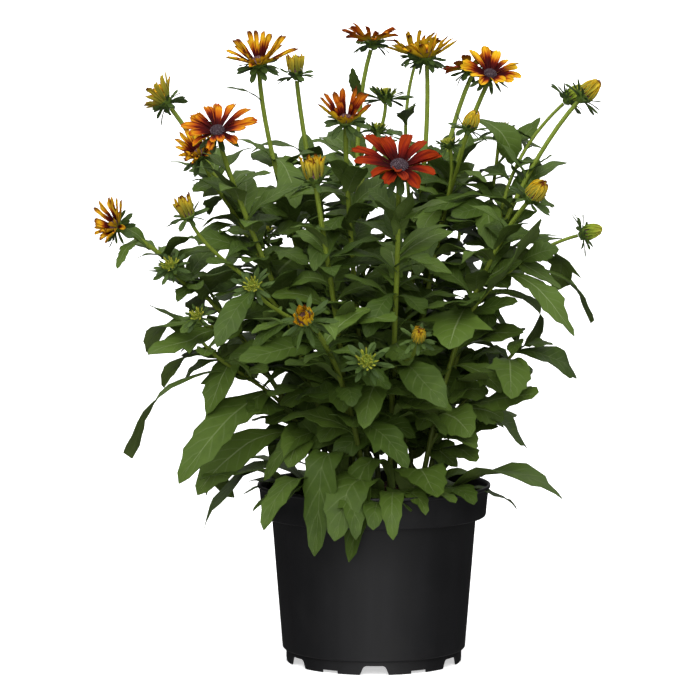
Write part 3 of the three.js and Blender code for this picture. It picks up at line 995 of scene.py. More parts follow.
@dataclass(frozen=True)
class BladePattern:
    """The pattern of a leaf, a petal or a bract, one metre long and one wide until it is cut."""

    name: str
    outline: Outline
    rows: int = 14
    columns: int = 4
    fold: float = 0.10
    curl: float = 0.05
    ripple: float = 0.0
    waves: float = 2.0
    phase: float = 0.0
    teeth: float = 0.0
    sickle: float = 0.0
    notch: float = 0.0
    ribs: float = 0.0
    lobes: tuple[Lobe, ...] = ()

    @cached_property
    def mesh(self) -> bpy.types.Mesh:
        """The pattern's mesh, shaped once from a flat grid.

        Returns:
            The mesh.
        """
        bpy.ops.object.select_all(action="DESELECT")
        bpy.ops.mesh.primitive_grid_add(
            x_subdivisions=self.rows, y_subdivisions=self.columns, size=1,
            location=(0.5, 0, 0), rotation=(-math.pi / 2, 0, 0),
        )
        blade = bpy.context.object
        blade.name = self.name
        Bench.settle(blade, blade.matrix_world.copy())
        self.mark_free(blade)
        with Bench.editing(blade):
            self.fold_columns()
            self.wave_margins()
            self.cut_teeth()
            self.pull_lobes()
            self.draw_outline()
            self.cut_notch()
        return Bench.keep_mesh(blade)

    def mark_free(self, blade: bpy.types.Object) -> None:
        """Writes how free each row is to wave: not at all at the foot, and fully from halfway.

        Args:
            blade: the shaped blade.
        """
        group = blade.vertex_groups.new(name=FREE)
        for vertex in blade.data.vertices:
            group.add([vertex.index], min(1.0, 2.0 * vertex.co.x), "REPLACE")

    def fold_columns(self) -> None:
        """Presses the midrib down and turns the margins over."""
        for column in range(self.columns + 1):
            side = column / self.columns - 0.5
            off_rib = abs(2 * side)
            rib = self.ribs * math.sin(math.pi * off_rib)
            drop = self.fold * (1 - off_rib) + self.curl * off_rib**2 - rib
            Bench.select(lambda place, side=side: abs(place.z - side) < 0.01)
            Bench.shift(y=-drop)

    def wave_margins(self) -> None:
        """Waves both margins, each in its own time."""
        if self.ripple == 0:
            return
        for row in range(1, self.rows):
            share = row / self.rows
            for side in (-1, 1):
                swing = math.tau * self.waves * share + self.phase + side
                Bench.select(
                    lambda place, side=side, share=share: abs(place.x - share) < 0.01
                    and abs(place.z - 0.5 * side) < 0.01
                )
                Bench.shift(y=self.ripple * math.sin(swing))

    def cut_teeth(self) -> None:
        """Draws every second point of the margins out and forward."""
        if self.teeth == 0:
            return
        pitch = 1 / self.rows
        Bench.select(
            lambda place: abs(place.z) > 0.49
            and 0.3 < place.x < 0.93
            and round(place.x / pitch) % 2 == 1
        )
        Bench.stretch(1, 1, 1 + self.teeth, (0, 0, 0))
        Bench.shift(x=0.3 * pitch)

    def pull_lobes(self) -> None:
        """Pulls a point of a margin out for each lobe."""
        reach = 0.6 / self.rows
        for lobe in self.lobes:
            Bench.select(
                lambda place, lobe=lobe: abs(place.x - lobe.along) < reach
                and abs(place.z - 0.5 * lobe.side) < 0.12
            )
            Bench.shift(x=lobe.sweep, z=lobe.side * lobe.reach)

    def draw_outline(self) -> None:
        """Draws each row in to the outline's width and sweeps it sideways."""
        for row in range(self.rows + 1):
            share = row / self.rows
            width = between(self.outline, share)
            Bench.select(lambda place, share=share: abs(place.x - share) < 0.5 / self.rows)
            Bench.stretch(1, width, width, (share, 0, 0))
            Bench.shift(z=self.sickle * share**2)

    def cut_notch(self) -> None:
        """Parts the tip of a petal into two rounded points."""
        if self.notch == 0:
            return
        last = between(self.outline, 1.0)
        for side, back in ((0.0, 0.6), (-0.5, 1.0), (0.5, 1.0)):
            Bench.select(
                lambda place, side=side: place.x > 1 - 0.4 / self.rows
                and abs(place.z - self.sickle - side * last) < 0.05
            )
            Bench.shift(x=-self.notch * back)

    @lru_cache(maxsize=None)
    def shaped(
        self, slimness: float, droop: float, twist: float, hinge: tuple[float, float]
    ) -> bpy.types.Mesh:
        """The pattern one metre long, drawn in, twisted and bent.

        Args:
            slimness: its width against its length.
            droop: how far it bends down from foot to tip, in degrees.
            twist: how far it turns about itself, in degrees.
            hinge: the shares of its length between which it bends.

        Returns:
            The mesh, from which blades are copied.
        """
        blade = Bench.copy(self.mesh, self.name)
        foot = Matrix.Translation((-hinge[0], 0, 0))
        blade.data.transform(foot @ Matrix.Diagonal((1, slimness, slimness, 1)))
        for method, axis, angle, limits in (
            ("TWIST", "X", twist, (0.0, 1.0)), ("BEND", "Z", -droop, hinge)
        ):
            if angle:
                Bench.modify(
                    blade, "SIMPLE_DEFORM", deform_method=method, deform_axis=axis,
                    angle=math.radians(angle), limits=limits,
                )
        blade.data.transform(foot.inverted())
        return Bench.keep_mesh(blade)

    def cut(
        self, size: tuple[float, float], droop: float, twist: float, place: Matrix, tone: float,
        hinge: tuple[float, float] = (0.0, 1.0),
    ) -> bpy.types.Object:
        """Cuts one blade to size from the nearest shape and puts it in its place.

        Args:
            size: length and width in metres.
            droop: how far it bends down from foot to tip, in degrees.
            twist: how far it turns about itself, in degrees.
            place: where its foot stands.
            tone: the shade it carries.
            hinge: the shares of its length between which it bends.

        Returns:
            The blade, a sheet with its upper face outwards.
        """
        length, width = size
        slimness = max(1, round(width / length / SLIM_STEP)) * SLIM_STEP
        bend = round(droop / BEND_STEP) * BEND_STEP
        turn = round(twist / BEND_STEP) * BEND_STEP
        blade = Bench.copy(self.shaped(slimness, bend, turn, hinge), self.name)
        scale = Matrix.Diagonal((length, length, width / slimness, 1))
        blade.data.transform(place @ scale)
        Bench.set_tone(blade, tone)
        return blade


LANCE: Outline = (
    (0, 0.13), (0.12, 0.15), (0.27, 0.34), (0.42, 0.74), (0.58, 1.0), (0.74, 0.93),
    (0.86, 0.64), (0.95, 0.28), (1, 0.03),
)
SPOON: Outline = (
    (0, 0.12), (0.2, 0.2), (0.45, 0.38), (0.6, 0.55), (0.72, 0.5), (0.8, 1.0), (0.9, 0.85),
    (0.96, 0.4), (1, 0.03),
)
BROAD: Outline = (
    (0, 0.12), (0.1, 0.16), (0.22, 0.55), (0.36, 0.93), (0.52, 1.0), (0.7, 0.86),
    (0.86, 0.55), (0.95, 0.26), (1, 0.03),
)
SESSILE: Outline = (
    (0, 0.5), (0.1, 0.56), (0.25, 0.8), (0.42, 1.0), (0.6, 0.93), (0.78, 0.62),
    (0.92, 0.26), (1, 0.03),
)
PETAL: Outline = ((0, 0.3), (0.15, 0.42), (0.4, 0.85), (0.65, 1.0), (0.85, 0.9), (1, 0.55))
STRAP: Outline = ((0, 0.36), (0.2, 0.5), (0.45, 0.78), (0.75, 1.0), (0.9, 0.95), (1, 0.66))
QUILL: Outline = ((0, 0.35), (0.2, 0.5), (0.5, 0.85), (0.75, 0.9), (0.92, 0.6), (1, 0.25))
BRACT: Outline = (
    (0, 0.5), (0.2, 0.6), (0.45, 0.86), (0.68, 1.0), (0.86, 0.78), (0.95, 0.44), (1, 0.06)
)
OBLONG: Outline = (
    (0, 0.14), (0.1, 0.18), (0.22, 0.5), (0.36, 0.86), (0.52, 1.0), (0.68, 0.97),
    (0.82, 0.74), (0.93, 0.36), (1, 0.03),
)


class LeafShape(Enum):
    """The kinds of leaf outline on this plant."""

    LANCE = "lance"
    SPOON = "spoon"
    LOBED = "lobed"
    BROAD = "broad"
    SESSILE = "sessile"


LOBES = (Lobe(0.5, 1, 0.34, 0.07), Lobe(0.64, -1, 0.42, 0.08))
LEAF_PATTERNS: dict[LeafShape, tuple[BladePattern, ...]] = {
    LeafShape.LANCE: (
        BladePattern("lance_a", LANCE, ripple=0.07, waves=2.3, phase=0.4, teeth=0.10, sickle=0.25),
        BladePattern("lance_b", LANCE, ripple=0.10, waves=1.7, phase=2.1, teeth=0.06, sickle=-0.3),
        BladePattern(
            "lance_c", LANCE, ripple=0.06, waves=3.1, phase=4.0, teeth=0.12, sickle=0.1,
            lobes=(Lobe(0.64, 1, 0.2, 0.05),),
        ),
        BladePattern(
            "oblong_a", OBLONG, ripple=0.09, waves=2.1, phase=1.2, teeth=0.16, sickle=0.12
        ),
        BladePattern(
            "oblong_b", OBLONG, ripple=0.12, waves=1.4, phase=3.3, teeth=0.09, sickle=-0.2
        ),
    ),
    LeafShape.SPOON: (
        BladePattern("spoon_a", SPOON, ripple=0.06, waves=2.2, phase=1.0, sickle=0.3),
    ),
    LeafShape.LOBED: (
        BladePattern("lobed_a", LANCE, ripple=0.08, waves=2.0, phase=1.5, teeth=0.08, lobes=LOBES),
    ),
    LeafShape.BROAD: (
        BladePattern("broad_a", BROAD, ripple=0.06, waves=2.6, phase=0.2, teeth=0.09, sickle=0.12),
        BladePattern("broad_b", BROAD, ripple=0.09, waves=1.9, phase=3.0, teeth=0.13, sickle=-0.1),
    ),
    LeafShape.SESSILE: (
        BladePattern("sessile_a", SESSILE, ripple=0.08, waves=1.6, phase=0.9, sickle=0.2),
        BladePattern("sessile_b", SESSILE, ripple=0.05, waves=2.4, phase=2.8, sickle=-0.2),
    ),
}
PETAL_PATTERNS = (
    BladePattern(
        "petal_a", PETAL, 9, 4, fold=-0.05, curl=-0.16, notch=0.09, ribs=0.08, sickle=0.05
    ),
    BladePattern(
        "petal_b", PETAL, 9, 4, fold=-0.02, curl=-0.26, notch=0.06, ribs=0.06, sickle=-0.1
    ),
    BladePattern(
        "petal_c", QUILL, 9, 4, fold=0.05, curl=-0.36, notch=0.07, ripple=0.05, sickle=0.12
    ),
    BladePattern(
        "petal_d", STRAP, 9, 4, fold=0.02, curl=-0.30, notch=0.10, ripple=0.08, sickle=-0.16
    ),
    BladePattern(
        "petal_e", STRAP, 9, 4, fold=-0.04, curl=-0.44, notch=0.05, ripple=0.06, sickle=0.02
    ),
)
SCALE_PATTERNS = (
    BladePattern("scale_a", QUILL, 7, 4, fold=-0.20, curl=0.10, notch=0.03, ribs=-0.03),
    BladePattern("scale_b", PETAL, 7, 4, fold=-0.24, curl=0.14, notch=0.04, sickle=0.05),
)
BRACT_PATTERNS = (
    BladePattern("bract_a", BRACT, 7, 4, fold=0.14, curl=0.02, ripple=0.05, waves=1.1, sickle=0.15),
    BladePattern("bract_b", BRACT, 7, 4, fold=0.10, curl=0.06, ripple=0.06, waves=0.8, sickle=-0.2),
)


# Flower heads


@dataclass(frozen=True)
class Whorl:
    """A ring of petals or bracts at full size, in millimetres and degrees."""

    patterns: tuple[BladePattern, ...]
    count: int
    length: float
    width: float
    rise: float
    droop: float
    radius: float
    height: float
    stray: float = 6.0
    turn: float = 0.0
    shrink: float = 0.0

    SHIFT, LEAN, SAG, TURN, ROLL = 0.7, 1.0, 1.4, 2.6, 1.6
    LENGTHS, WIDTHS = (0.8, 1.06), (0.8, 1.12)

    def grow(self, size: float, luck: random.Random, low_side: float) -> list[bpy.types.Object]:
        """Cuts the ring's blades and stands them round the head's axis.

        Args:
            size: the head's size against full size.
            luck: where the small differences between the blades come from.
            low_side: the azimuth of the head's low side, where the blades shrink.

        Returns:
            The blades.
        """
        blades = []
        for index in range(self.count):
            azimuth = 360 / self.count * index + self.turn + self.off(luck, self.SHIFT)
            foot = heading(azimuth, 0) * self.radius * size * MM
            foot.z = self.height * size * MM
            rise = self.rise + self.off(luck, self.LEAN)
            droop = self.droop + self.off(luck, self.SAG)
            twist = self.off(luck, self.TURN)
            lowness = max(0.0, math.cos(math.radians(azimuth - low_side)))
            length = self.length * size * MM * luck.uniform(*self.LENGTHS)
            length *= 1 - self.shrink * lowness
            width = self.width * size * MM * luck.uniform(*self.WIDTHS)
            pattern = luck.choice(self.patterns)
            place = blade_place(foot, azimuth, rise, self.off(luck, self.ROLL))
            blades.append(pattern.cut((length, width), droop, twist, place, luck.random()))
        return blades

    def off(self, luck: random.Random, share: float) -> float:
        """A small difference in degrees, up to a share of the ring's stray either way."""
        return luck.uniform(-share, share) * self.stray


@dataclass(frozen=True)
class Dome:
    """The middle of a head: a dome set with florets, in millimetres."""

    radius: float
    height: float
    base: float
    florets: int
    finish: DiscFinish
    floret: float = 0.62

    def model(self, size: float) -> bpy.types.Object:
        """Models the dome and its florets.

        Args:
            size: the head's size against full size.

        Returns:
            The dome, in the head's own axes.
        """
        unit = size * MM
        bpy.ops.object.select_all(action="DESELECT")
        bpy.ops.mesh.primitive_uv_sphere_add(segments=18, ring_count=10, radius=1)
        dome = bpy.context.object
        with Bench.editing(dome):
            bpy.ops.mesh.select_all(action="SELECT")
            bpy.ops.mesh.bisect(
                plane_co=(0, 0, -0.2), plane_no=(0, 0, 1), use_fill=True, clear_inner=True
            )
        scale = Matrix.Diagonal((self.radius * unit, self.radius * unit, self.height * unit, 1))
        Bench.settle(dome, Matrix.Translation((0, 0, self.base * unit)) @ scale)
        # Tone 0 gives the dome the dark inner colour, a painted shade where it shows between the
        # florets.
        Bench.set_tone(dome, 0.0)
        whole = Bench.join([dome, *self.set_florets(unit)], "disc")
        Bench.smooth(whole, 40)
        return whole

    def set_florets(self, unit: float) -> list[bpy.types.Object]:
        """Sets florets over the dome, each turned by the golden angle from the last.

        Args:
            unit: one millimetre of a head of full size, in metres.

        Returns:
            The florets.
        """
        bpy.ops.object.select_all(action="DESELECT")
        bpy.ops.mesh.primitive_cone_add(
            vertices=5, radius1=self.floret * unit, radius2=0.4 * self.floret * unit,
            depth=2.2 * self.floret * unit,
        )
        pattern = Bench.keep_mesh(bpy.context.object)
        florets = []
        for index in range(self.florets):
            share = (index + 0.5) / self.florets
            polar = math.acos(1 - 0.95 * share)
            way = heading(GOLDEN_TURN * index, 90 - math.degrees(polar))
            spot = Vector((way.x * self.radius, way.y * self.radius, way.z * self.height))
            outward = Vector((way.x / self.radius, way.y / self.radius, way.z / self.height))
            turn = Vector((0, 0, 1)).rotation_difference(outward)
            floret = Bench.copy(pattern, "floret")
            spot = (spot + Vector((0, 0, self.base))) * unit
            floret.data.transform(Matrix.Translation(spot) @ turn.to_matrix().to_4x4())
            Bench.set_tone(floret, share)
            florets.append(floret)
        return florets


@dataclass(frozen=True)
class HeadLook:
    """How one kind of flower head is built and finished, and how far it nods to the front."""

    petals: tuple[Whorl, ...]
    bracts: tuple[Whorl, ...]
    dome: Dome
    upper: PetalFinish
    lower: PetalFinish
    node: str
    nod: float = 0.0


CUP_PROFILE: Outline = ((2.0, 0), (2.5, 0.5), (4.2, 2.6), (6.6, 5.4), (7.2, 6.6), (6.4, 7.4))
OPEN_BRACTS = (
    Whorl(BRACT_PATTERNS, 9, 18, 5.4, -10, 34, 3.4, 4.2, 13),
    Whorl(BRACT_PATTERNS, 7, 14, 4.6, 8, 26, 4.2, 5.4, 13, 22),
)
CUP_BRACTS = (
    Whorl(BRACT_PATTERNS, 9, 18, 5.8, -8, 34, 3.4, 4.2, 15),
    Whorl(BRACT_PATTERNS, 8, 14, 4.8, 16, 30, 4.4, 5.4, 14, 22),
)
BUD_BRACTS = (
    Whorl(BRACT_PATTERNS, 9, 18, 5.0, 6, 30, 3.4, 4.0, 15),
    Whorl(BRACT_PATTERNS, 8, 14, 4.0, 34, 26, 4.6, 5.0, 14, 25),
)
SPIKY_BRACTS = (
    Whorl(BRACT_PATTERNS, 9, 21, 4.6, 6, 26, 3.0, 3.6, 17),
    Whorl(BRACT_PATTERNS, 9, 16, 3.6, 34, 24, 4.2, 4.4, 16, 22),
    Whorl(BRACT_PATTERNS, 8, 10, 2.4, 60, 6, 5.0, 5.2, 11, 10),
)
STAR_BRACTS = (
    Whorl(BRACT_PATTERNS, 9, 23, 4.8, 2, 24, 3.4, 4.0, 16),
    Whorl(BRACT_PATTERNS, 9, 16, 3.8, 26, 28, 4.4, 5.0, 15, 20),
)
PURPLE_DOME = Dome(6.0, 4.4, 8.0, 130, DISC_PURPLE)
YOUNG_DOME = Dome(5.6, 4.2, 8.0, 80, DISC_YOUNG)
BUD_DOME = Dome(5.2, 7.5, 6.5, 40, DISC_YOUNG)
GREEN_DOME = Dome(4.8, 3.4, 6.0, 64, DISC_GREEN, 0.95)
QUILLS = PETAL_PATTERNS[2:]
OPEN_PETALS = (
    Whorl(PETAL_PATTERNS[:4], 13, 31, 9.2, 24, 18, 4.8, 7.6, 9, 0, 0.28),
    Whorl(PETAL_PATTERNS, 3, 25, 6.4, 30, 20, 4.6, 8.0, 14, 17, 0.3),
)
SIDE_PETALS = (
    Whorl(PETAL_PATTERNS, 13, 28, 6.8, 20, 14, 4.8, 7.6, 14),
    Whorl(QUILLS, 9, 24, 5.4, 46, 6, 4.6, 8.0, 15, 15),
)
CUP_PETALS = (
    Whorl(QUILLS, 15, 26, 5.2, 46, -4, 5.4, 7.4, 10, 0, 0.42),
    Whorl(QUILLS, 8, 13, 4.0, 60, -8, 4.8, 8.2, 12, 13, 0.4),
)
FAN_PETALS = (
    Whorl(QUILLS, 17, 27, 4.8, 28, -4, 5.4, 7.4, 9, 0, 0.42),
    Whorl(QUILLS, 13, 24, 4.2, 50, -6, 4.8, 8.2, 9, 12, 0.55),
)
SHORT_PETALS = (
    Whorl(QUILLS, 13, 14, 3.4, 78, -18, 6.4, 6.6, 10),
    Whorl(QUILLS, 9, 12, 3.0, 80, -24, 3.8, 8.0, 10, 14),
)
SPIKE_PETALS = (
    Whorl(SCALE_PATTERNS, 12, 9, 2.6, 58, 8, 4.4, 5.6, 13),
    Whorl(SCALE_PATTERNS, 8, 7, 2.4, 76, -10, 2.4, 7.0, 13, 9),
)
LOOSE_PETALS = (
    Whorl(QUILLS, 13, 19, 3.7, 78, -16, 6.2, 6.8, 11),
    Whorl(QUILLS, 8, 16, 3.4, 84, -26, 4.2, 8.2, 10, 16),
)
BUD_PETALS = (
    Whorl(SCALE_PATTERNS, 13, 18, 4.8, 86, -48, 6.8, 6.8, 6),
    Whorl(SCALE_PATTERNS, 9, 16, 4.4, 86, -56, 5.6, 8.6, 6, 16),
)


OPEN = (OPEN_PETALS, OPEN_BRACTS, PURPLE_DOME)
CUP = (CUP_PETALS, CUP_BRACTS, YOUNG_DOME)
CLOSED = (BUD_PETALS, BUD_BRACTS, BUD_DOME)


class HeadKind(Enum):
    """The kinds of flower head on this plant, from open flower to green bud."""

    RED_OPEN = HeadLook(*OPEN, PETAL_RED, PETAL_BURNT, "open_flower")
    ORANGE_OPEN = HeadLook(*OPEN, PETAL_ORANGE, PETAL_OUTSIDE, "open_flower")
    FLAME_OPEN = HeadLook(*OPEN, PETAL_FLAME, PETAL_OUTSIDE, "open_flower")
    SIDE_OPEN = HeadLook(
        SIDE_PETALS, OPEN_BRACTS, YOUNG_DOME, PETAL_ORANGE, PETAL_BURNT, "open_flower"
    )
    HALF_OPEN = HeadLook(*CUP, PETAL_INSIDE, PETAL_OUTSIDE, "half_open_flower", 0.22)
    FAN_OPEN = HeadLook(
        FAN_PETALS, CUP_BRACTS, YOUNG_DOME, PETAL_STRIPED, PETAL_OUTSIDE, "half_open_flower", 0.2
    )
    PALE_FAN = HeadLook(*CUP, PETAL_STRIPED, PETAL_OLIVE, "half_open_flower")
    LOOSE_BUD = HeadLook(
        LOOSE_PETALS, BUD_BRACTS, BUD_DOME, PETAL_OUTSIDE, PETAL_OLIVE, "flower_bud"
    )
    GOLD_BUD = HeadLook(*CLOSED, PETAL_OUTSIDE, PETAL_OLIVE, "flower_bud")
    LIME_BUD = HeadLook(*CLOSED, PETAL_GREEN, PETAL_GREEN, "flower_bud")
    STAR_BUD = HeadLook(
        SHORT_PETALS, STAR_BRACTS, YOUNG_DOME, PETAL_OUTSIDE, PETAL_OUTSIDE, "flower_bud"
    )
    GREEN_BUD = HeadLook(
        SPIKE_PETALS, SPIKY_BRACTS, GREEN_DOME, PETAL_GREEN, PETAL_GREEN, "flower_bud"
    )


@dataclass(frozen=True)
class HeadPlan:
    """A flower head: its kind, its size, the end of its stem in millimetres and its facing."""

    kind: HeadKind
    size: float
    neck: Point
    facing: Point


class FlowerHead:
    """One flower head, built in its own axes and set on the end of its stem."""

    GAP = 0.3

    def __init__(self, plan: HeadPlan, node: str, arrival: Vector, radius: float) -> None:
        """Works out where the head stands.

        Args:
            plan: what the head is.
            node: the frame's node that it stands for.
            arrival: the way in which its stem arrives.
            radius: the stem's radius in millimetres.
        """
        self.plan = plan
        self.node = node
        self.look: HeadLook = plan.kind.value
        self.luck = random.Random(node)
        facing = Vector(plan.facing).normalized()
        lift = self.GAP + radius * math.sin(facing.angle(arrival))
        spot = (Vector(plan.neck) + facing * lift) * MM
        nodding = facing + Vector((0, -self.look.nod, 0))
        turn = Vector((0, 0, 1)).rotation_difference(nodding)
        self.place = Matrix.Translation(spot) @ turn.to_matrix().to_4x4()

    def build(self) -> list[bpy.types.Object]:
        """Models and dresses the head's pieces.

        Returns:
            The pieces, each riding on the plant.
        """
        pieces = [self.bracts(), self.disc(), self.petals()]
        for piece in pieces:
            Bench.settle(piece, self.place)
        return hang_on(pieces, self.node)

    def petals(self) -> bpy.types.Object:
        """The head's petals, joined.

        Returns:
            The object.
        """
        blades = self.ring(self.look.petals)
        petals = Bench.join(blades, self.node + "_petals")
        Bench.crumple(petals, 7, 1.2)
        dress(petals, self.look.upper, self.look.lower)
        Bench.thicken(petals, PETAL_THICKNESS)
        Bench.smooth(petals, 55)
        return petals

    def bracts(self) -> bpy.types.Object:
        """The head's green cup and the bracts that spread from it.

        Returns:
            The object.
        """
        size = self.plan.size
        profile = tuple((radius * size, height * size) for radius, height in CUP_PROFILE)
        bpy.ops.object.select_all(action="DESELECT")
        cup = Bench.draw_up("cup", profile, 16)
        Bench.set_tone(cup, 0.5)
        blades = Bench.join(self.ring(self.look.bracts), "bracts")
        dress(blades, BRACT_UPPER, BRACT_LOWER)
        Bench.thicken(blades, BRACT_THICKNESS)
        dress(cup, CUP_GREEN)
        whole = Bench.join([blades, cup], self.node + "_bracts")
        Bench.smooth(whole, 50)
        return whole

    def disc(self) -> bpy.types.Object:
        """The middle of the head.

        Returns:
            The object.
        """
        disc = self.look.dome.model(self.plan.size)
        disc.name = self.node + "_disc"
        disc.data.name = disc.name
        dress(disc, self.look.dome.finish)
        return disc

    def ring(self, whorls: Sequence[Whorl]) -> list[bpy.types.Object]:
        """The blades of several whorls.

        Args:
            whorls: the rings, from the inside out.

        Returns:
            The blades.
        """
        low_side = math.degrees(math.atan2(self.plan.facing[1], self.plan.facing[0]))
        return [
            blade for whorl in whorls for blade in whorl.grow(self.plan.size, self.luck, low_side)
        ]


def dress(piece: bpy.types.Object, *finishes: object) -> None:
    """Gives a piece its materials in order, in place of those it has.

    Args:
        piece: the object.
        finishes: what it wears: the first on its faces, the next on its lower faces.
    """
    piece.data.materials.clear()
    for finish in finishes:
        piece.data.materials.append(finish.material)


def hang_on(pieces: Sequence[bpy.types.Object], node: str) -> list[bpy.types.Object]:
    """Lets finished pieces ride on the plant in place of a node of the frame.

    Args:
        pieces: the objects.
        node: the frame's node that they stand for.

    Returns:
        The same pieces.
    """
    for piece in pieces:
        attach(piece, BODY)
        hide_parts(node)
    return list(pieces)


# Stems and leaves


@dataclass(frozen=True)
class LeafPlan:
    """A leaf on a stem: where it grows, how it lies and what shape it has."""

    shoot: int
    along: float
    azimuth: float
    length: float
    width: float
    rise: float
    droop: float
    twist: float = 0.0
    shape: LeafShape = LeafShape.LANCE
    roll: float = 0.0


@dataclass(frozen=True)
class ShootPlan:
    """A side shoot: where it leaves its stem, and the head or the leafy tip it ends in."""

    leaves_at: float
    head: HeadPlan | None = None
    tip: Point | None = None
    leave: Point | None = None
    arrive: Point | None = None


@dataclass(frozen=True)
class StemPlan:
    """A stem with its head, its side shoots and the leaves that were given one by one."""

    foot: tuple[float, float]
    head: HeadPlan
    arrive: Point | None = None
    shoots: tuple[ShootPlan, ...] = ()
    leaves: tuple[LeafPlan, ...] = ()


@dataclass(frozen=True)
class Spiral:
    """How leaves follow each other up a stem, from the first value to the second."""

    spacing: float = 22.0
    first: float = 22.0
    step_by_stem: float = 7.0
    turn_by_stem: float = 77.0
    top_share: float = 0.78
    top: float = 385.0
    length: tuple[float, float] = (98.0, 56.0)
    width: tuple[float, float] = (30.0, 17.0)
    rise: tuple[float, float] = (48.0, 58.0)
    droop: tuple[float, float] = (85.0, 65.0)
    companions: tuple[float, ...] = (0.25, 0.5, 0.75)


class Stem:
    """One stem with its side shoots and their leaves."""

    SOIL_TOP = 136.0
    DEPTH = 16.0
    RADIUS = 2.1
    SHOOT_RADIUS = 1.6
    SHOOT_LEAF_SHARE = 0.72
    LIGHT_ROLL = 34.0
    SHOOT_LEAF_SPACING = 13.0

    def __init__(self, plan: StemPlan, number: int, section: bpy.types.Object) -> None:
        """Works out the curves of a stem and its shoots.

        Args:
            plan: what the stem is.
            number: its place in the plan, from 1.
            section: the ridged section that its tubes are drawn with.
        """
        self.plan = plan
        self.number = number
        self.node = f"stem_{number:02d}"
        self.section = section
        self.luck = random.Random(self.node)
        self.main = self.main_bend()
        self.bends = [self.main, *(self.shoot_bend(shoot) for shoot in plan.shoots)]

    def main_bend(self) -> Bend:
        """The stem's curve: steep out of its foot, then out to its head.

        Returns:
            The curve.
        """
        plan = self.plan
        start = Vector((*plan.foot, self.SOIL_TOP - self.DEPTH)) * MM
        end = Vector(plan.head.neck) * MM
        reach = end - start
        lean = Vector((reach.x, reach.y, 0)) * 0.16
        arrival = Vector(plan.arrive or plan.head.facing).normalized()
        first = start + lean + Vector((0, 0, 0.36 * reach.length))
        return Bend(start, first, end - arrival * (0.25 * reach.length), end)

    def shoot_bend(self, shoot: ShootPlan) -> Bend:
        """The curve of a side shoot.

        Args:
            shoot: its plan.

        Returns:
            The curve from the stem to the shoot's end.
        """
        start = self.main.point(shoot.leaves_at)
        end = Vector(shoot.tip or shoot.head.neck) * MM
        reach = end - start
        outward = self.main.tangent(shoot.leaves_at) + reach.normalized() * 0.5
        leaving = Vector(shoot.leave or outward).normalized()
        arrival = Vector(shoot.arrive or shoot.head.facing).normalized()
        first = start + leaving * (0.35 * reach.length)
        return Bend(start, first, end - arrival * (0.3 * reach.length), end)

    def build(self) -> list[bpy.types.Object]:
        """Models and dresses the stem's tubes and its leaves.

        Returns:
            The pieces, each riding on the plant.
        """
        return hang_on([self.stalks(), self.foliage()], self.node)

    def stalks(self) -> bpy.types.Object:
        """The tubes of the stem and its shoots, joined.

        Returns:
            The object.
        """
        tubes = [self.tube(self.main, self.RADIUS * 1.15, self.RADIUS * 0.95)]
        tubes += [
            self.tube(bend, self.SHOOT_RADIUS * 1.1, self.SHOOT_RADIUS * 0.95)
            for bend in self.bends[1:]
        ]
        stalks = Bench.join(tubes, self.node + "_stalks")
        dress(stalks, STALK_GREEN)
        Bench.smooth(stalks, 60)
        return stalks

    def tube(self, bend: Bend, foot: float, neck: float) -> bpy.types.Object:
        """A tube along a curve.

        Args:
            bend: the curve.
            foot: the radius at its start, in millimetres.
            neck: the radius at its end.

        Returns:
            The tube as a closed mesh.
        """
        bpy.ops.object.select_all(action="DESELECT")
        bpy.ops.curve.primitive_bezier_curve_add()
        tube = bpy.context.object
        lower, upper = tube.data.splines[0].bezier_points
        for point in (lower, upper):
            point.handle_left_type = "FREE"
            point.handle_right_type = "FREE"
        lower.co = bend.start
        lower.handle_left = bend.start * 2 - bend.first
        lower.handle_right = bend.first
        upper.co = bend.end
        upper.handle_left = bend.last
        upper.handle_right = bend.end * 2 - bend.last
        lower.radius = foot
        upper.radius = neck
        tube.data.resolution_u = 22
        tube.data.bevel_mode = "OBJECT"
        tube.data.bevel_object = self.section
        tube.data.use_fill_caps = True
        Bench.settle(tube, tube.matrix_world.copy())
        bpy.ops.object.convert(target="MESH")
        return bpy.context.object

    def foliage(self) -> bpy.types.Object:
        """All the stem's leaves, joined.

        Returns:
            The object.
        """
        named = [self.fuller(plan) for plan in self.plan.leaves]
        plans = (*named, *self.spiral(Spiral()), *self.shoot_leaves())
        blades = [self.leaf(plan) for plan in plans]
        foliage = Bench.join(blades, self.node + "_leaves")
        finish_leaves(foliage)
        return foliage

    def fuller(self, plan: LeafPlan) -> LeafPlan:
        """A named leaf at the width of a grown one, turned a little.

        Args:
            plan: the named leaf.

        Returns:
            The wider leaf.
        """
        width = plan.width * self.luck.uniform(1.25, 1.6)
        roll = plan.roll + self.luck.uniform(-15, 15)
        return replace(plan, width=min(width, plan.length * 0.42), roll=roll)

    def leaf(self, plan: LeafPlan) -> bpy.types.Object:
        """One leaf of the stem.

        Args:
            plan: what the leaf is.

        Returns:
            The leaf as a sheet.
        """
        base = self.bends[plan.shoot].point(plan.along)
        pattern = self.luck.choice(LEAF_PATTERNS[plan.shape])
        to_light = self.LIGHT_ROLL * math.cos(math.radians(plan.azimuth))
        place = blade_place(base, plan.azimuth, plan.rise, plan.roll + to_light)
        size = (plan.length * MM, plan.width * MM)
        return pattern.cut(size, plan.droop, plan.twist, place, self.luck.random())

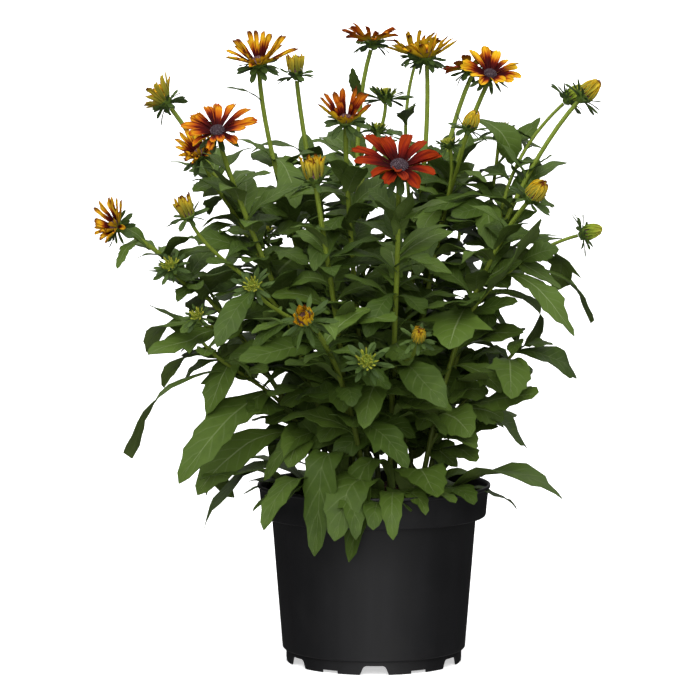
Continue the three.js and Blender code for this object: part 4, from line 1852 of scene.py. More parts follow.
    def spiral(self, spiral: Spiral) -> list[LeafPlan]:
        """The leaves that follow each other round the stem, each with its companions.

        Args:
            spiral: how they follow each other.

        Returns:
            Their plans, shorter and narrower towards the top.
        """
        top = min(self.main.point(spiral.top_share).z / MM, spiral.top) - self.SOIL_TOP
        stem_top = self.main.end.z / MM - self.SOIL_TOP
        index = self.number - 1
        height = spiral.first + spiral.step_by_stem * (index % 4)
        plans: list[LeafPlan] = []
        count = 0
        while height < top:
            azimuth = GOLDEN_TURN / 2 * count + 180 * (count % 2) + spiral.turn_by_stem * index
            for order, lift in enumerate((0.0, *spiral.companions)):
                place = height + lift * spiral.spacing
                share = min(place / top, 1.0)
                along = (place + self.DEPTH) / (stem_top + self.DEPTH)
                sizes = [
                    low + (high - low) * share
                    for low, high in (spiral.length, spiral.width, spiral.rise, spiral.droop)
                ]
                if count % 2:
                    sizes[0] *= 0.85
                turn = azimuth + 94 * order
                roll = 0.0
                if order:
                    sizes = self.varied(sizes)
                    sizes[3] += 45 * (1 - share)
                    roll = self.luck.uniform(-40, 40)
                shape = LeafShape.SESSILE if share > 0.75 else LeafShape.LANCE
                twist = self.luck.uniform(-25, 25)
                plans.append(LeafPlan(0, along, turn, *sizes, twist, shape, roll))
            height += spiral.spacing
            count += 1
        return plans

    def varied(self, sizes: Sequence[float]) -> list[float]:
        """Length, width, rise and droop of a companion, a little off those of its neighbour.

        Args:
            sizes: those of its neighbour.

        Returns:
            The four values.
        """
        length, width, rise, droop = sizes
        return [
            length * self.luck.uniform(0.6, 1.0),
            width * self.luck.uniform(0.8, 1.2),
            rise + self.luck.uniform(-26, 12),
            droop + self.luck.uniform(-30, 30),
        ]

    def shoot_leaves(self) -> list[LeafPlan]:
        """Small leaves along the side shoots.

        Returns:
            The leaves.
        """
        plans = []
        for number, bend in enumerate(self.bends[1:], 1):
            reach = (bend.end - bend.start).length / MM
            bare_tip = self.plan.shoots[number - 1].head is None
            covered = 1.0 if bare_tip else self.SHOOT_LEAF_SHARE
            count = int(reach * covered / self.SHOOT_LEAF_SPACING) + 3 * bare_tip
            for step in range(count):
                share = (step + 1.0 * bare_tip + 0.5 * (1 - bare_tip)) / count
                sizes = (68 - 26 * share, 19 - 6 * share, 46, 80)
                turn = GOLDEN_TURN * step + 50 * number + 77 * self.number
                along = share ** (0.6 if bare_tip else 1.0) * covered
                twist = self.luck.uniform(-25, 25)
                roll = self.luck.uniform(-40, 40)
                plan = LeafPlan(number, along, turn, *self.varied(sizes), twist, roll=roll)
                plans.append(plan)
        return plans


def finish_leaves(foliage: bpy.types.Object) -> None:
    """Waves, dresses and thickens a joined sheet of leaves.

    Args:
        foliage: the joined blades.
    """
    Bench.crumple(foliage, 32, 6)
    Bench.crumple(foliage, 12, 1.6)
    dress(foliage, LEAF_UPPER, LEAF_LOWER)
    Bench.thicken(foliage, LEAF_THICKNESS)
    Bench.smooth(foliage, 60)


@dataclass(frozen=True)
class BasalPlan:
    """A leaf that rises from the soil, with smaller ones beside its foot."""

    foot: tuple[float, float]
    azimuth: float
    length: float
    width: float
    rise: float
    droop: float
    twist: float = 0.0
    shape: LeafShape = LeafShape.LANCE
    hinge: tuple[float, float] = (0.0, 1.0)


class BasalLeaf:
    """One leaf that rises from the soil and arches over the rim."""

    DEPTH = 10.0
    COMPANIONS = ((-38, 0.56, 4), (33, 0.62, -8), (70, 0.46, 8))

    def __init__(self, plan: BasalPlan, node: str) -> None:
        """Takes the leaf's plan and the frame's node that it stands for.

        Args:
            plan: the leaf's plan.
            node: the frame's node.
        """
        self.plan = plan
        self.node = node
        self.luck = random.Random(node)

    def build(self) -> list[bpy.types.Object]:
        """Models and dresses the leaf and its companions.

        Returns:
            The pieces.
        """
        plan = self.plan
        blades = [self.blade(plan.azimuth, plan.length, plan.width, plan.rise, plan.hinge)]
        for turn, share, lift in self.COMPANIONS:
            size = (plan.length * share, plan.width * (0.25 + 0.7 * share))
            blades.append(self.blade(plan.azimuth + turn, *size, plan.rise + lift, (0.0, 1.0)))
        leaf = Bench.join(blades, self.node + "_blade")
        finish_leaves(leaf)
        return hang_on([leaf], self.node)

    def blade(
        self, azimuth: float, length: float, width: float, rise: float,
        hinge: tuple[float, float],
    ) -> bpy.types.Object:
        """One blade from the leaf's foot.

        Args:
            azimuth: the way it points.
            length: in millimetres.
            width: in millimetres.
            rise: how steeply it leaves the soil.
            hinge: the shares of its length between which it bends.

        Returns:
            The blade.
        """
        plan = self.plan
        base = Vector((*plan.foot, Stem.SOIL_TOP - self.DEPTH)) * MM
        pattern = self.luck.choice(LEAF_PATTERNS[plan.shape])
        place = blade_place(base, azimuth, rise)
        tone = self.luck.uniform(0.1, 0.7)
        return pattern.cut((length * MM, width * MM), plan.droop, plan.twist, place, tone, hinge)


# The plan of the plant


LOBED = LeafShape.LOBED
BROAD_LEAF = LeafShape.BROAD
STEMS = (
    StemPlan(
        (-34, -6),
        HeadPlan(HeadKind.FAN_OPEN, 0.85, (-202, -30, 354), (-0.8, -0.35, 0.45)),
        shoots=(
            ShootPlan(
                0.62, HeadPlan(HeadKind.GREEN_BUD, 0.8, (-160, -60, 323), (-0.3, -0.65, 0.7)),
            ),
            ShootPlan(0.5, HeadPlan(HeadKind.GREEN_BUD, 0.65, (-138, -80, 286), (-0.3, -0.7, 0.6))),
            ShootPlan(0.26, tip=(-136, -60, 265), arrive=(-0.6, -0.2, 0.75)),
        ),
        leaves=(
            LeafPlan(0, 0.12, -148, 128, 21, 34, 120, 20),
            LeafPlan(0, 0.17, 172, 122, 20, 28, 110),
            LeafPlan(0, 0.21, -124, 120, 21, 26, 125, -20),
            LeafPlan(0, 0.29, 180, 135, 20, 10, 145, 40),
            LeafPlan(0, 0.34, -115, 145, 23, 10, 80, 30),
            LeafPlan(0, 0.47, -110, 90, 18, 10, 95, 20),
            LeafPlan(0, 0.58, -130, 80, 20, 65, 60, -20),
            LeafPlan(0, 0.92, -120, 40, 7, 10, 90),
            LeafPlan(2, 0.19, -130, 85, 21, 10, 50, 30, LOBED),
            LeafPlan(2, 0.79, 155, 90, 12, 20, 100, 50),
            LeafPlan(2, 0.79, 135, 70, 8, 10, 5, 40),
            LeafPlan(3, 0.63, -150, 135, 24, 10, 110, 60, LeafShape.SPOON),
            LeafPlan(3, 0.79, -165, 40, 16, 10, 90, 20),
            LeafPlan(3, 0.9, 165, 60, 12, 10, 100, 40),
        ),
    ),
    StemPlan(
        (-30, 14),
        HeadPlan(HeadKind.PALE_FAN, 0.9, (-167, 60, 449), (-0.69, 0.1, 0.72)),
        (-0.6, 0.1, 0.79),
        shoots=(
            ShootPlan(
                0.62, HeadPlan(HeadKind.FAN_OPEN, 0.85, (-138, 0, 408), (-0.45, -0.35, 0.82)),
                arrive=(-0.25, -0.3, 0.92),
            ),
        ),
    ),
    StemPlan(
        (-24, -22),
        HeadPlan(HeadKind.ORANGE_OPEN, 0.93, (-123, -60, 427), (-0.1, -0.62, 0.78)),
        (-0.2, -0.45, 0.87),
        shoots=(
            ShootPlan(
                0.42, HeadPlan(HeadKind.LOOSE_BUD, 0.9, (-144, -90, 363), (-0.35, -0.35, 0.87)),
                leave=(-0.3, -0.2, 1), arrive=(-0.42, -0.2, 0.88),
            ),
        ),
        leaves=(
            LeafPlan(0, 0.29, -105, 95, 8, 15, 15),
            LeafPlan(0, 0.31, -60, 90, 14, 25, 35),
            LeafPlan(1, 0.37, -110, 85, 14, 10, 80),
            LeafPlan(1, 0.57, 125, 65, 18, 10, 75, 0, BROAD_LEAF),
        ),
    ),
    StemPlan(
        (-16, 24),
        HeadPlan(HeadKind.FAN_OPEN, 1.05, (-94, 50, 479), (-0.05, -0.2, 0.98)),
        shoots=(ShootPlan(0.5, HeadPlan(HeadKind.GREEN_BUD, 0.6, (-88, 10, 346), (0, -0.1, 1))),),
        leaves=(
            LeafPlan(0, 0.45, -115, 85, 16, 10, 45),
            LeafPlan(0, 0.53, -105, 90, 28, 10, 55, 0, BROAD_LEAF),
            LeafPlan(0, 0.76, -70, 70, 13, 10, 100, 30),
            LeafPlan(0, 0.91, -125, 45, 7, 45, 65),
            LeafPlan(1, 0.79, -105, 80, 13, 25, 50),
        ),
    ),
    StemPlan(
        (-8, 36),
        HeadPlan(HeadKind.LOOSE_BUD, 0.9, (-64, 110, 471), (-0.1, 0, 0.99)),
        shoots=(
            ShootPlan(
                0.3, HeadPlan(HeadKind.GOLD_BUD, 0.8, (-65, 150, 338), (-0.1, 0.3, 0.95)),
                leave=(-0.2, 0.4, 1),
            ),
        ),
        leaves=(LeafPlan(0, 0.76, -125, 50, 8, 20, 30),),
    ),
    StemPlan(
        (-14, -33),
        HeadPlan(HeadKind.LOOSE_BUD, 1.0, (-46, -100, 390), (-0.15, -0.1, 0.98)),
        shoots=(
            ShootPlan(
                0.42, HeadPlan(HeadKind.GREEN_BUD, 0.8, (-93, -140, 314), (-0.2, -0.85, 0.5)),
                arrive=(-0.3, -0.7, 0.65),
            ),
        ),
        leaves=(
            LeafPlan(0, 0.53, -60, 85, 18, 35, 45),
            LeafPlan(1, 0.22, -130, 90, 16, 10, 40),
            LeafPlan(1, 0.25, -70, 75, 12, 30, 5),
            LeafPlan(1, 0.51, -145, 45, 10, 10, 85),
        ),
    ),
    StemPlan(
        (-4, -46),
        HeadPlan(HeadKind.STAR_BUD, 0.95, (-52, -165, 291), (-0.2, -0.9, 0.4)),
        (-0.45, -0.75, 0.5),
    ),
    StemPlan(
        (-4, -8),
        HeadPlan(HeadKind.HALF_OPEN, 0.95, (-23, -40, 435), (0, -0.3, 0.95)),
        shoots=(ShootPlan(0.7, HeadPlan(HeadKind.GREEN_BUD, 0.8, (2, 20, 427), (0.1, 0.1, 0.99))),),
        leaves=(
            LeafPlan(0, 0.67, -105, 95, 12, 20, 25),
            LeafPlan(0, 0.73, -110, 95, 15, 10, 70),
            LeafPlan(0, 0.91, 115, 60, 7, 30, 40),
        ),
    ),
    StemPlan(
        (4, 20),
        HeadPlan(HeadKind.SIDE_OPEN, 0.85, (-2, 110, 497), (0.05, 0.05, 1)),
        (0.29, 0, 0.96),
        shoots=(ShootPlan(0.62, HeadPlan(HeadKind.GREEN_BUD, 1.0, (10, 80, 452), (0, 0.1, 1))),),
        leaves=(LeafPlan(0, 0.86, -105, 40, 7, 25, -40),),
    ),
    StemPlan(
        (16, 34),
        HeadPlan(HeadKind.FAN_OPEN, 0.95, (44, 60, 484), (-0.05, 0.05, 1)),
        shoots=(
            ShootPlan(
                0.48, HeadPlan(HeadKind.FAN_OPEN, 0.9, (36, 130, 486), (-0.1, 0.3, 0.95)),
                leave=(0, 0.2, 1), arrive=(0.3, 0.15, 0.93),
            ),
        ),
    ),
    StemPlan(
        (12, -34),
        HeadPlan(HeadKind.RED_OPEN, 1.12, (18, -120, 400), (0.05, -0.58, 0.81)),
        (-0.02, -0.45, 0.89),
        shoots=(
            ShootPlan(0.3, HeadPlan(HeadKind.GREEN_BUD, 0.95, (-7, -160, 258), (0, -0.9, 0.4))),
            ShootPlan(
                0.36, HeadPlan(HeadKind.GOLD_BUD, 0.75, (32, -150, 274), (0.1, -0.8, 0.6)),
                arrive=(0.1, -0.6, 0.8),
            ),
        ),
        leaves=(
            LeafPlan(0, 0.4, -110, 95, 18, 10, 75),
            LeafPlan(0, 0.43, -80, 95, 20, 10, 70),
            LeafPlan(0, 0.61, -110, 65, 16, 10, 80),
            LeafPlan(0, 0.67, -35, 50, 16, 50, 105),
        ),
    ),
    StemPlan(
        (20, -8),
        HeadPlan(HeadKind.FLAME_OPEN, 0.85, (93, 20, 471), (0.15, -0.6, 0.78)),
        (0.42, -0.25, 0.87),
        shoots=(
            ShootPlan(
                0.62, HeadPlan(HeadKind.GOLD_BUD, 0.85, (73, -40, 430), (0.35, -0.1, 0.93)),
                arrive=(0.22, -0.1, 0.97),
            ),
            ShootPlan(0.55, HeadPlan(HeadKind.GREEN_BUD, 0.7, (61, -10, 417), (-0.2, -0.1, 1))),
        ),
        leaves=(
            LeafPlan(0, 0.38, -65, 85, 12, 10, 25),
            LeafPlan(0, 0.88, -35, 60, 18, 10, 130, 20),
            LeafPlan(2, 0.28, -105, 95, 15, 10, 75),
        ),
    ),
    StemPlan(
        (28, 20),
        HeadPlan(HeadKind.RED_OPEN, 0.85, (81, 80, 474), (-0.3, 0.1, 0.9)),
        (0.4, 0.3, 0.87),
        shoots=(
            ShootPlan(
                0.26, HeadPlan(HeadKind.GOLD_BUD, 0.8, (74, 142, 342), (0.1, 0.3, 0.95)),
                leave=(0.15, 0.5, 1),
            ),
        ),
        leaves=(LeafPlan(0, 0.31, -75, 85, 18, 10, 55),),
    ),
    StemPlan(
        (40, 4),
        HeadPlan(HeadKind.GOLD_BUD, 1.0, (164, 0, 455), (0.72, 0.1, 0.68)),
        (0.66, 0.1, 0.74),
        shoots=(
            ShootPlan(
                0.52, HeadPlan(HeadKind.GREEN_BUD, 0.8, (103, 50, 427), (0.05, 0, 1)),
                leave=(0, 0.1, 1), arrive=(0.05, 0, 1),
            ),
            ShootPlan(
                0.6, HeadPlan(HeadKind.LIME_BUD, 0.9, (156, 50, 453), (0.75, 0, 0.66)),
                leave=(0.05, 0, 1), arrive=(0.74, 0, 0.67),
            ),
        ),
        leaves=(
            LeafPlan(0, 0.13, -65, 80, 15, 25, 50, 20),
            LeafPlan(0, 0.28, -70, 85, 16, 10, 5),
            LeafPlan(0, 0.7, 30, 50, 11, 10, 45),
            LeafPlan(1, 0.07, -50, 85, 15, 15, 60, -20),
            LeafPlan(1, 0.5, -100, 90, 15, 10, 75),
            LeafPlan(1, 0.53, -120, 95, 12, 10, 40),
            LeafPlan(1, 0.76, -5, 55, 14, 55, 25),
            LeafPlan(1, 0.92, 15, 45, 10, 25, 55),
            LeafPlan(2, 0.44, 30, 70, 10, 40, 155),
        ),
    ),
    StemPlan(
        (34, -24),
        HeadPlan(HeadKind.GOLD_BUD, 1.0, (120, -60, 376), (0.6, -0.3, 0.75)),
        shoots=(
            ShootPlan(0.55, HeadPlan(HeadKind.LIME_BUD, 0.85, (163, -30, 349), (0.95, -0.1, 0.25))),
            ShootPlan(0.18, tip=(119, -20, 263), arrive=(0.5, -0.1, 0.85)),
        ),
        leaves=(
            LeafPlan(0, 0.6, -105, 85, 30, 10, 60, 0, LOBED),
            LeafPlan(1, 0.18, -50, 95, 33, 45, 0, 0, BROAD_LEAF),
            LeafPlan(1, 0.26, 0, 105, 16, 10, 145),
            LeafPlan(1, 0.42, -55, 90, 15, 10, 90, -20),
            LeafPlan(1, 0.48, 0, 100, 18, 10, 100, -30),
            LeafPlan(1, 0.7, 25, 60, 20, 10, 135, -30, LOBED),
            LeafPlan(2, 0.34, -15, 80, 21, 10, 100, -20),
            LeafPlan(2, 0.4, -40, 75, 30, 15, 10, 40, BROAD_LEAF),
            LeafPlan(2, 0.79, -80, 80, 20, 30, 90, -30),
            LeafPlan(2, 0.91, -25, 65, 21, 10, 100, -30),
        ),
    ),
)
BASAL_LEAVES = (
    BasalPlan((-44, -34), -112, 135, 24, 66, 135, 10),
    BasalPlan((-52, -20), -160, 112, 34, 66, 92, 0, BROAD_LEAF),
    BasalPlan((-26, -56), -112, 160, 27, 84, 165, 0, hinge=(0.24, 0.6)),
    BasalPlan((6, -66), -128, 118, 36, 78, 150, -20, BROAD_LEAF, (0.15, 0.7)),
    BasalPlan((16, -58), -128, 156, 28, 84, 162, 10, hinge=(0.2, 0.6)),
    BasalPlan((30, -54), -74, 98, 38, 86, 125, 0, BROAD_LEAF, (0.3, 0.65)),
    BasalPlan((50, -27), -20, 128, 36, 68, 118, 0),
    BasalPlan((44, 48), 60, 115, 28, 66, 110, 0),
    BasalPlan((-10, 60), 104, 120, 29, 66, 115, 0, BROAD_LEAF),
    BasalPlan((-48, 38), 142, 110, 27, 60, 100, 0),
)


class Plant:
    """The whole plant: stems with their leaves, flower heads and the leaves from the soil."""

    def __init__(self, stems: Sequence[StemPlan], basal_leaves: Sequence[BasalPlan]) -> None:
        """Names every stem, head and leaf after the frame's nodes.

        Args:
            stems: the stems' plans.
            basal_leaves: the rim leaves' plans.
        """
        section = self.ridged_section()
        self.section = section
        self.stems = [Stem(plan, index + 1, section) for index, plan in enumerate(stems)]
        self.heads = self.name_heads()
        self.leaves = [
            BasalLeaf(plan, f"basal_leaf_{index + 1:02d}")
            for index, plan in enumerate(basal_leaves)
        ]

    @staticmethod
    def ridged_section() -> bpy.types.Object:
        """A ridged round section, one metre in radius, that the tubes are drawn with.

        Returns:
            The section's object.
        """
        bpy.ops.object.select_all(action="DESELECT")
        bpy.ops.mesh.primitive_circle_add(vertices=14, radius=MM)
        section = bpy.context.object
        section.name = "section"
        with Bench.editing(section):
            step = math.tau / 14
            Bench.select(lambda place: round(math.atan2(place.y, place.x) / step) % 2 == 0)
            Bench.stretch(0.9, 0.9, 1, (0, 0, 0))
        bpy.ops.object.convert(target="CURVE")
        return bpy.context.object

    def name_heads(self) -> list[FlowerHead]:
        """The heads in the order of the plan, each numbered within its kind of node.

        Returns:
            The heads.
        """
        counts: dict[str, int] = {}
        heads = []
        for stem in self.stems:
            plans = [(stem.plan.head, stem.main, Stem.RADIUS)]
            plans += [
                (shoot.head, bend, Stem.SHOOT_RADIUS)
                for shoot, bend in zip(stem.plan.shoots, stem.bends[1:])
                if shoot.head
            ]
            for plan, bend, radius in plans:
                kind = plan.kind.value.node
                counts[kind] = counts.get(kind, 0) + 1
                node = f"{kind}_{counts[kind]:02d}"
                heads.append(FlowerHead(plan, node, bend.tangent(1), radius))
        return heads

    def build(self) -> list[bpy.types.Object]:
        """Builds every part of the plant.

        Returns:
            The pieces.
        """
        pieces = []
        for part in (*self.stems, *self.heads, *self.leaves):
            made = part.build()
            LOG.info("%s: %s", part.node, ", ".join(piece.name for piece in made))
            pieces += made
        bpy.data.objects.remove(self.section)
        return pieces


# Pot and soil


@dataclass
class Pot:
    """The black plastic pot: a moulded body with a rim band and a notched skirt."""

    sides: int = 120
    sectors: int = 6
    skirt_radius: float = 71.6
    notch_top: float = 17.0
    notch_bottom: float = 24.0
    notch_height: float = 7.4
    arch_width: float = 14.0
    arch_height: float = 2.4
    drain_radius: float = 5.0
    drain_ring: float = 46.0
    floor: float = 9.0
    profile: Outline = (
        (16.0, 0.0), (17.5, 9.0), (70.0, 9.0), (70.0, 0.6), (70.5, 0.0), (71.1, 0.0),
        (71.6, 0.6), (71.7, 10.4), (72.2, 11.0), (74.1, 11.1), (74.7, 11.8), (77.5, 46.4),
        (80.4, 82.4), (83.2, 117.8), (83.7, 119.0), (84.6, 119.4), (90.4, 119.5), (91.2, 120.0),
        (91.5, 121.0), (92.4, 131.0), (93.5, 141.6), (93.8, 142.4), (94.5, 142.7), (95.0, 143.3),
        (95.1, 144.5), (94.8, 145.2), (94.2, 145.5), (93.2, 145.4), (92.6, 144.8), (92.0, 143.1),
        (89.7, 121.8), (89.0, 121.1), (82.2, 121.0), (81.7, 120.2), (73.2, 10.9), (72.4, 10.6),
        (16.4, 10.6), (15.9, 10.2), (14.4, 1.6),
    )

    node: str = field(default="pot", init=False)

    def build(self) -> list[bpy.types.Object]:
        """Models and dresses the pot.

        Returns:
            The pieces.
        """
        bpy.ops.object.select_all(action="DESELECT")
        pot = Bench.draw_up("pot_shell", self.profile, self.sides)
        for cutter in (self.notches(), self.arches(), self.drains()):
            Bench.modify(pot, "BOOLEAN", operation="DIFFERENCE", object=cutter, solver="EXACT")
            bpy.data.objects.remove(cutter)
        dress(pot, POT_BLACK)
        Bench.smooth(pot, 32)
        return hang_on([pot], self.node)

    def notches(self) -> bpy.types.Object:
        """Flared cutters for the skirt's notches.

        Returns:
            The cutters, joined.
        """
        bpy.ops.object.select_all(action="DESELECT")
        bpy.ops.mesh.primitive_cube_add(size=MM, location=(0, 0, 0))
        cutter = bpy.context.object
        with Bench.editing(cutter):
            bpy.ops.mesh.select_all(action="SELECT")
            Bench.stretch(self.notch_bottom, 20, self.notch_height + 1, (0, 0, 0))
            Bench.shift(z=(self.notch_height - 1) / 2 * MM)
            Bench.select(lambda place: place.z > self.notch_height / 2 * MM)
            Bench.stretch(self.notch_top / self.notch_bottom, 1, 1, (0, 0, 0))
        with Bench.editing(cutter):
            bpy.ops.mesh.select_all(action="DESELECT")
            self.select_upright_edges(cutter)
            bpy.ops.mesh.bevel(offset=2.2 * MM, segments=4)
        return self.round_the_pot(cutter, 0)

    def select_upright_edges(self, cutter: bpy.types.Object) -> None:
        """Selects the two upper edges of a cutter that run through the skirt.

        Args:
            cutter: the cutter in edit mode.
        """
        mesh = bmesh.from_edit_mesh(cutter.data)
        for edge in mesh.edges:
            first, second = (vertex.co for vertex in edge.verts)
            high = min(first.z, second.z) > self.notch_height / 2 * MM
            edge.select_set(high and abs(first.x - second.x) < 0.1 * MM)
        bmesh.update_edit_mesh(cutter.data)

    def arches(self) -> bpy.types.Object:
        """Shallow cutters that lift the skirt halfway between two notches.

        Returns:
            The cutters, joined.
        """
        bpy.ops.object.select_all(action="DESELECT")
        bpy.ops.mesh.primitive_cube_add(size=1)
        cutter = bpy.context.object
        size = (self.arch_width * MM, 20 * MM, 2 * self.arch_height * MM, 1)
        Bench.settle(cutter, Matrix.Diagonal(size))
        return self.round_the_pot(cutter, 180 / self.sectors)

    def drains(self) -> bpy.types.Object:
        """Round cutters for the drain holes.

        Returns:
            The cutters, joined.
        """
        bpy.ops.object.select_all(action="DESELECT")
        bpy.ops.mesh.primitive_cylinder_add(
            vertices=20, radius=self.drain_radius * MM, depth=8 * MM
        )
        cutter = bpy.context.object
        with Bench.editing(cutter):
            bpy.ops.mesh.select_all(action="SELECT")
            Bench.shift(y=(self.skirt_radius - self.drain_ring) * MM, z=self.floor * MM)
        return self.round_the_pot(cutter, 180 / self.sectors)

    def round_the_pot(self, cutter: bpy.types.Object, turn: float) -> bpy.types.Object:
        """Copies a cutter round the skirt.

        Args:
            cutter: one cutter, centred where the skirt's front would be the origin.
            turn: the angle of the first copy from the front, in degrees.

        Returns:
            All the copies as one object.
        """
        pattern = Bench.keep_mesh(cutter)
        copies = []
        for index in range(self.sectors):
            copy = Bench.copy(pattern, "cutter")
            spin = Matrix.Rotation(math.radians(360 / self.sectors * index + turn), 4, "Z")
            Bench.settle(copy, spin @ Matrix.Translation((0, -self.skirt_radius * MM, 0)))
            copies.append(copy)
        return Bench.join(copies, "cutters")


@dataclass
class Soil:
    """Peat in the pot: an uneven bed with crumbs, fibres and white specks on it."""

    radius: float = 89.0
    bottom: float = 121.6
    edge_top: float = 134.0
    top: float = 136.0
    crown_radius: float = 50.0
    crown_top: float = 137.5
    rings: int = 22
    crumbs: int = 420
    fibres: int = 110
    specks: int = 26

    node: str = field(default="potting_soil", init=False)

    def surface(self, radius: float) -> float:
        """The height of the soil at a distance from the middle, in millimetres.

        Args:
            radius: the distance, in millimetres.

        Returns:
            The height.
        """
        if radius < self.crown_radius:
            return self.crown_top - (self.crown_top - self.top) * radius / self.crown_radius
        share = (radius - self.crown_radius) / (self.radius - self.crown_radius)
        return self.top - (self.top - self.edge_top) * share

    def build(self) -> list[bpy.types.Object]:
        """Models and dresses the bed and what lies on it.

        Returns:
            The pieces.
        """
        pieces = [self.bed()]
        pieces.append(self.scatter("soil_crumbs", self.crumb(), self.crumbs, (0.5, 1.5), PEAT_BIT))
        pieces.append(self.scatter("soil_fibres", self.fibre(), self.fibres, (0.6, 1.5), FIBRE))
        pieces.append(self.scatter("soil_specks", self.crumb(), self.specks, (0.45, 0.9), PERLITE))
        return hang_on(pieces, self.node)

    def bed(self) -> bpy.types.Object:
        """The uneven surface of the peat, with the depth below it that closes it.

        Returns:
            The object.
        """
        radii = [self.radius * (1 - step / self.rings) for step in range(self.rings)]
        profile = [(self.radius, self.bottom)]
        profile += [(max(radius, 1.5), self.surface(radius)) for radius in radii]
        bpy.ops.object.select_all(action="DESELECT")
        bed = Bench.draw_up("soil_bed", tuple(profile), 96)
        Bench.modify(bed, "SUBSURF", subdivision_type="SIMPLE", levels=1, render_levels=1)
        self.roughen(bed)
        Bench.set_tone(bed, 0.35)
        dress(bed, PEAT)
        Bench.smooth(bed, 60)
        return bed

    def roughen(self, bed: bpy.types.Object) -> None:
        """Heaps and crumbles the bed's upper face.

        Args:
            bed: the bed.
        """
        group = bed.vertex_groups.new(name=FREE)
        inside = (self.radius - 1.5) * MM
        upper = (self.edge_top - 1) * MM
        free = [
            vertex.index
            for vertex in bed.data.vertices
            if vertex.co.z > upper and vertex.co.xy.length < inside
        ]
        group.add(free, 1.0, "REPLACE")
        Bench.crumple(bed, 14, 3.2)
        Bench.crumple(bed, 4, 2.2)

    @staticmethod
    def crumb() -> bpy.types.Mesh:
        """The pattern of a crumb: a knobbly lump about three millimetres wide.

        Returns:
            The mesh.
        """
        bpy.ops.object.select_all(action="DESELECT")
        bpy.ops.mesh.primitive_ico_sphere_add(subdivisions=1, radius=1.5 * MM)
        lump = bpy.context.object
        with Bench.editing(lump):
            Bench.select(lambda place: noise.noise(place * 900) > 0.05)
            Bench.stretch(0.72, 0.8, 0.7, (0, 0, 0))
        return Bench.keep_mesh(lump)

    @staticmethod
    def fibre() -> bpy.types.Mesh:
        """The pattern of a root fibre: a thin bent sliver.

        Returns:
            The mesh.
        """
        bpy.ops.object.select_all(action="DESELECT")
        bpy.ops.mesh.primitive_cylinder_add(
            vertices=4, radius=0.28 * MM, depth=9 * MM, rotation=(0, math.pi / 2, 0)
        )
        sliver = bpy.context.object
        Bench.settle(sliver, sliver.matrix_world.copy())
        with Bench.editing(sliver):
            bpy.ops.mesh.select_all(action="SELECT")
            bpy.ops.mesh.subdivide(number_cuts=2)
            Bench.select(lambda place: abs(place.x) < 2 * MM)
            Bench.shift(y=1.2 * MM, z=0.5 * MM)
        return Bench.keep_mesh(sliver)

    def scatter(
        self, name: str, pattern: bpy.types.Mesh, count: int, sizes: tuple[float, float],
        finish: SoilFinish,
    ) -> bpy.types.Object:
        """Strews copies of a small thing over the soil.

        Args:
            name: the joined object's name.
            pattern: the thing's mesh.
            count: how many are strewn.
            sizes: the smallest and the largest scale.
            finish: what they are dressed in.

        Returns:
            The copies as one object.
        """
        luck = random.Random(name)
        copies = []
        for _ in range(count):
            radius = (self.radius - 3) * math.sqrt(luck.random())
            spot = heading(luck.uniform(0, 360), 0) * radius
            spot.z = self.surface(radius) + luck.uniform(-0.3, 1.0)
            spin = Matrix.Rotation(luck.uniform(0, math.tau), 4, "Z")
            tip = Matrix.Rotation(luck.uniform(-0.5, 0.5), 4, "X")
            scale = Matrix.Scale(luck.uniform(*sizes), 4)
            copy = Bench.copy(pattern, name)
            copy.data.transform(Matrix.Translation(spot * MM) @ spin @ tip @ scale)
            Bench.set_tone(copy, luck.random())
            copies.append(copy)
        strewn = Bench.join(copies, name)
        dress(strewn, finish)
        return strewn


# Studio


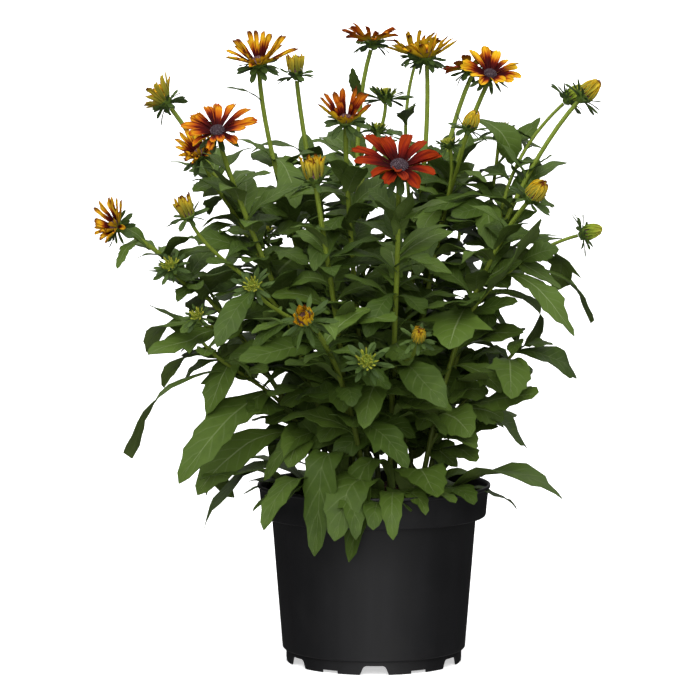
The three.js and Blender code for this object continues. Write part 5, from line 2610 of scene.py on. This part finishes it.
@dataclass
class Studio:
    """A pale floor, soft light and a camera at the photograph's viewing angle."""

    elevation: float = 5.2
    distance: float = 2.7
    target: Point = (-0.0211, 0.0, 0.2558)
    frame_width: float = 0.5653
    sensor: float = 36.0
    radius: float = 40.0

    def build(self) -> None:
        """Sets up the floor, the backdrop, the lights, the sky and the camera."""
        self.floor()
        self.backdrop()
        self.lights()
        self.sky()
        self.camera()

    def floor(self) -> None:
        """A floor that reaches past the camera's view on all sides."""
        bpy.ops.object.select_all(action="DESELECT")
        bpy.ops.mesh.primitive_circle_add(vertices=64, radius=self.radius, fill_type="NGON")
        self.stage("studio_floor", FLOOR_WHITE)

    def backdrop(self) -> None:
        """A dome of white paper that closes the view above the floor."""
        bpy.ops.object.select_all(action="DESELECT")
        bpy.ops.mesh.primitive_uv_sphere_add(segments=64, ring_count=32, radius=self.radius)
        with Bench.editing(bpy.context.object):
            bpy.ops.mesh.select_all(action="SELECT")
            bpy.ops.mesh.bisect(plane_co=(0, 0, -0.01), plane_no=(0, 0, 1), clear_inner=True)
            bpy.ops.mesh.select_all(action="SELECT")
            bpy.ops.mesh.flip_normals()
        self.stage("studio_backdrop", BACKDROP_WHITE)

    @staticmethod
    def stage(name: str, finish: FloorFinish) -> None:
        """Dresses the active object as a part of the studio that throws no light on the plant.

        Args:
            name: the object's name.
            finish: what it is dressed in.
        """
        paper = bpy.context.object
        paper.name = name
        paper.visible_diffuse = False
        paper.visible_glossy = False
        paper.visible_transmission = False
        paper.visible_shadow = False
        dress(paper, finish)

    def lights(self) -> None:
        """A broad key light from the upper front and a soft light from the camera's side."""
        self.sun("key_light", 1.9, 70, (-12, 50))
        self.sun("front_light", 0.7, 50, (4, 12))
        bpy.context.scene.view_settings.view_transform = "Standard"

    @staticmethod
    def sky() -> None:
        """Soft light from above and from the front, and hardly any from the sides."""
        world = bpy.data.worlds.new("studio_world")
        bpy.context.scene.world = world
        sky = SkyShader(world)
        way = sky.read("ShaderNodeTexCoord", {}, {}, "Generated")
        parts = sky.node("ShaderNodeSeparateXYZ", {}, {0: way})
        above = Field(sky, parts.outputs[2]).ease(-0.05, 1.0)
        below = (0 - Field(sky, parts.outputs[2])).ease(0.1, 1.0)
        ahead = (0 - Field(sky, parts.outputs[1])).ease(0.2, 1.0)
        sky.link("Strength", above * 1.25 + ahead * 0.6 + below * 0.35 + 0.02)

    @staticmethod
    def sun(name: str, strength: float, softness: float, place: tuple[float, float]) -> None:
        """Hangs a large soft light far away.

        Args:
            name: the light's name.
            strength: its strength.
            softness: how wide it looks, in degrees.
            place: degrees round from the front to the right, and above the floor.
        """
        bpy.ops.object.light_add(type="SUN")
        light = bpy.context.object
        light.name = name
        light.data.energy = strength
        light.data.angle = math.radians(softness)
        towards = heading(place[0] - 90, place[1])
        light.rotation_euler = towards.to_track_quat("Z", "Y").to_euler()

    def camera(self) -> None:
        """A long lens, far off and a little above the rim, as in the photograph."""
        target = Vector(self.target)
        spot = target + heading(-90, self.elevation) * self.distance
        bpy.ops.object.camera_add(location=spot)
        camera = bpy.context.object
        camera.rotation_euler = (target - spot).to_track_quat("-Z", "Y").to_euler()
        camera.data.sensor_width = self.sensor
        camera.data.lens = self.sensor * self.distance / self.frame_width
        camera.data.clip_end = 200
        bpy.context.scene.camera = camera


def main() -> None:
    """Builds the pot, the soil, the plant and the studio round the frame."""
    logging.basicConfig(level=logging.INFO, format="%(message)s")
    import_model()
    for part in (Pot(), Soil()):
        made = part.build()
        LOG.info("%s: %s", part.node, ", ".join(piece.name for piece in made))
    pieces = Plant(STEMS, BASAL_LEAVES).build()
    LOG.info("plant: %d pieces", len(pieces))
    Studio().build()


if __name__ == "__main__":
    main()
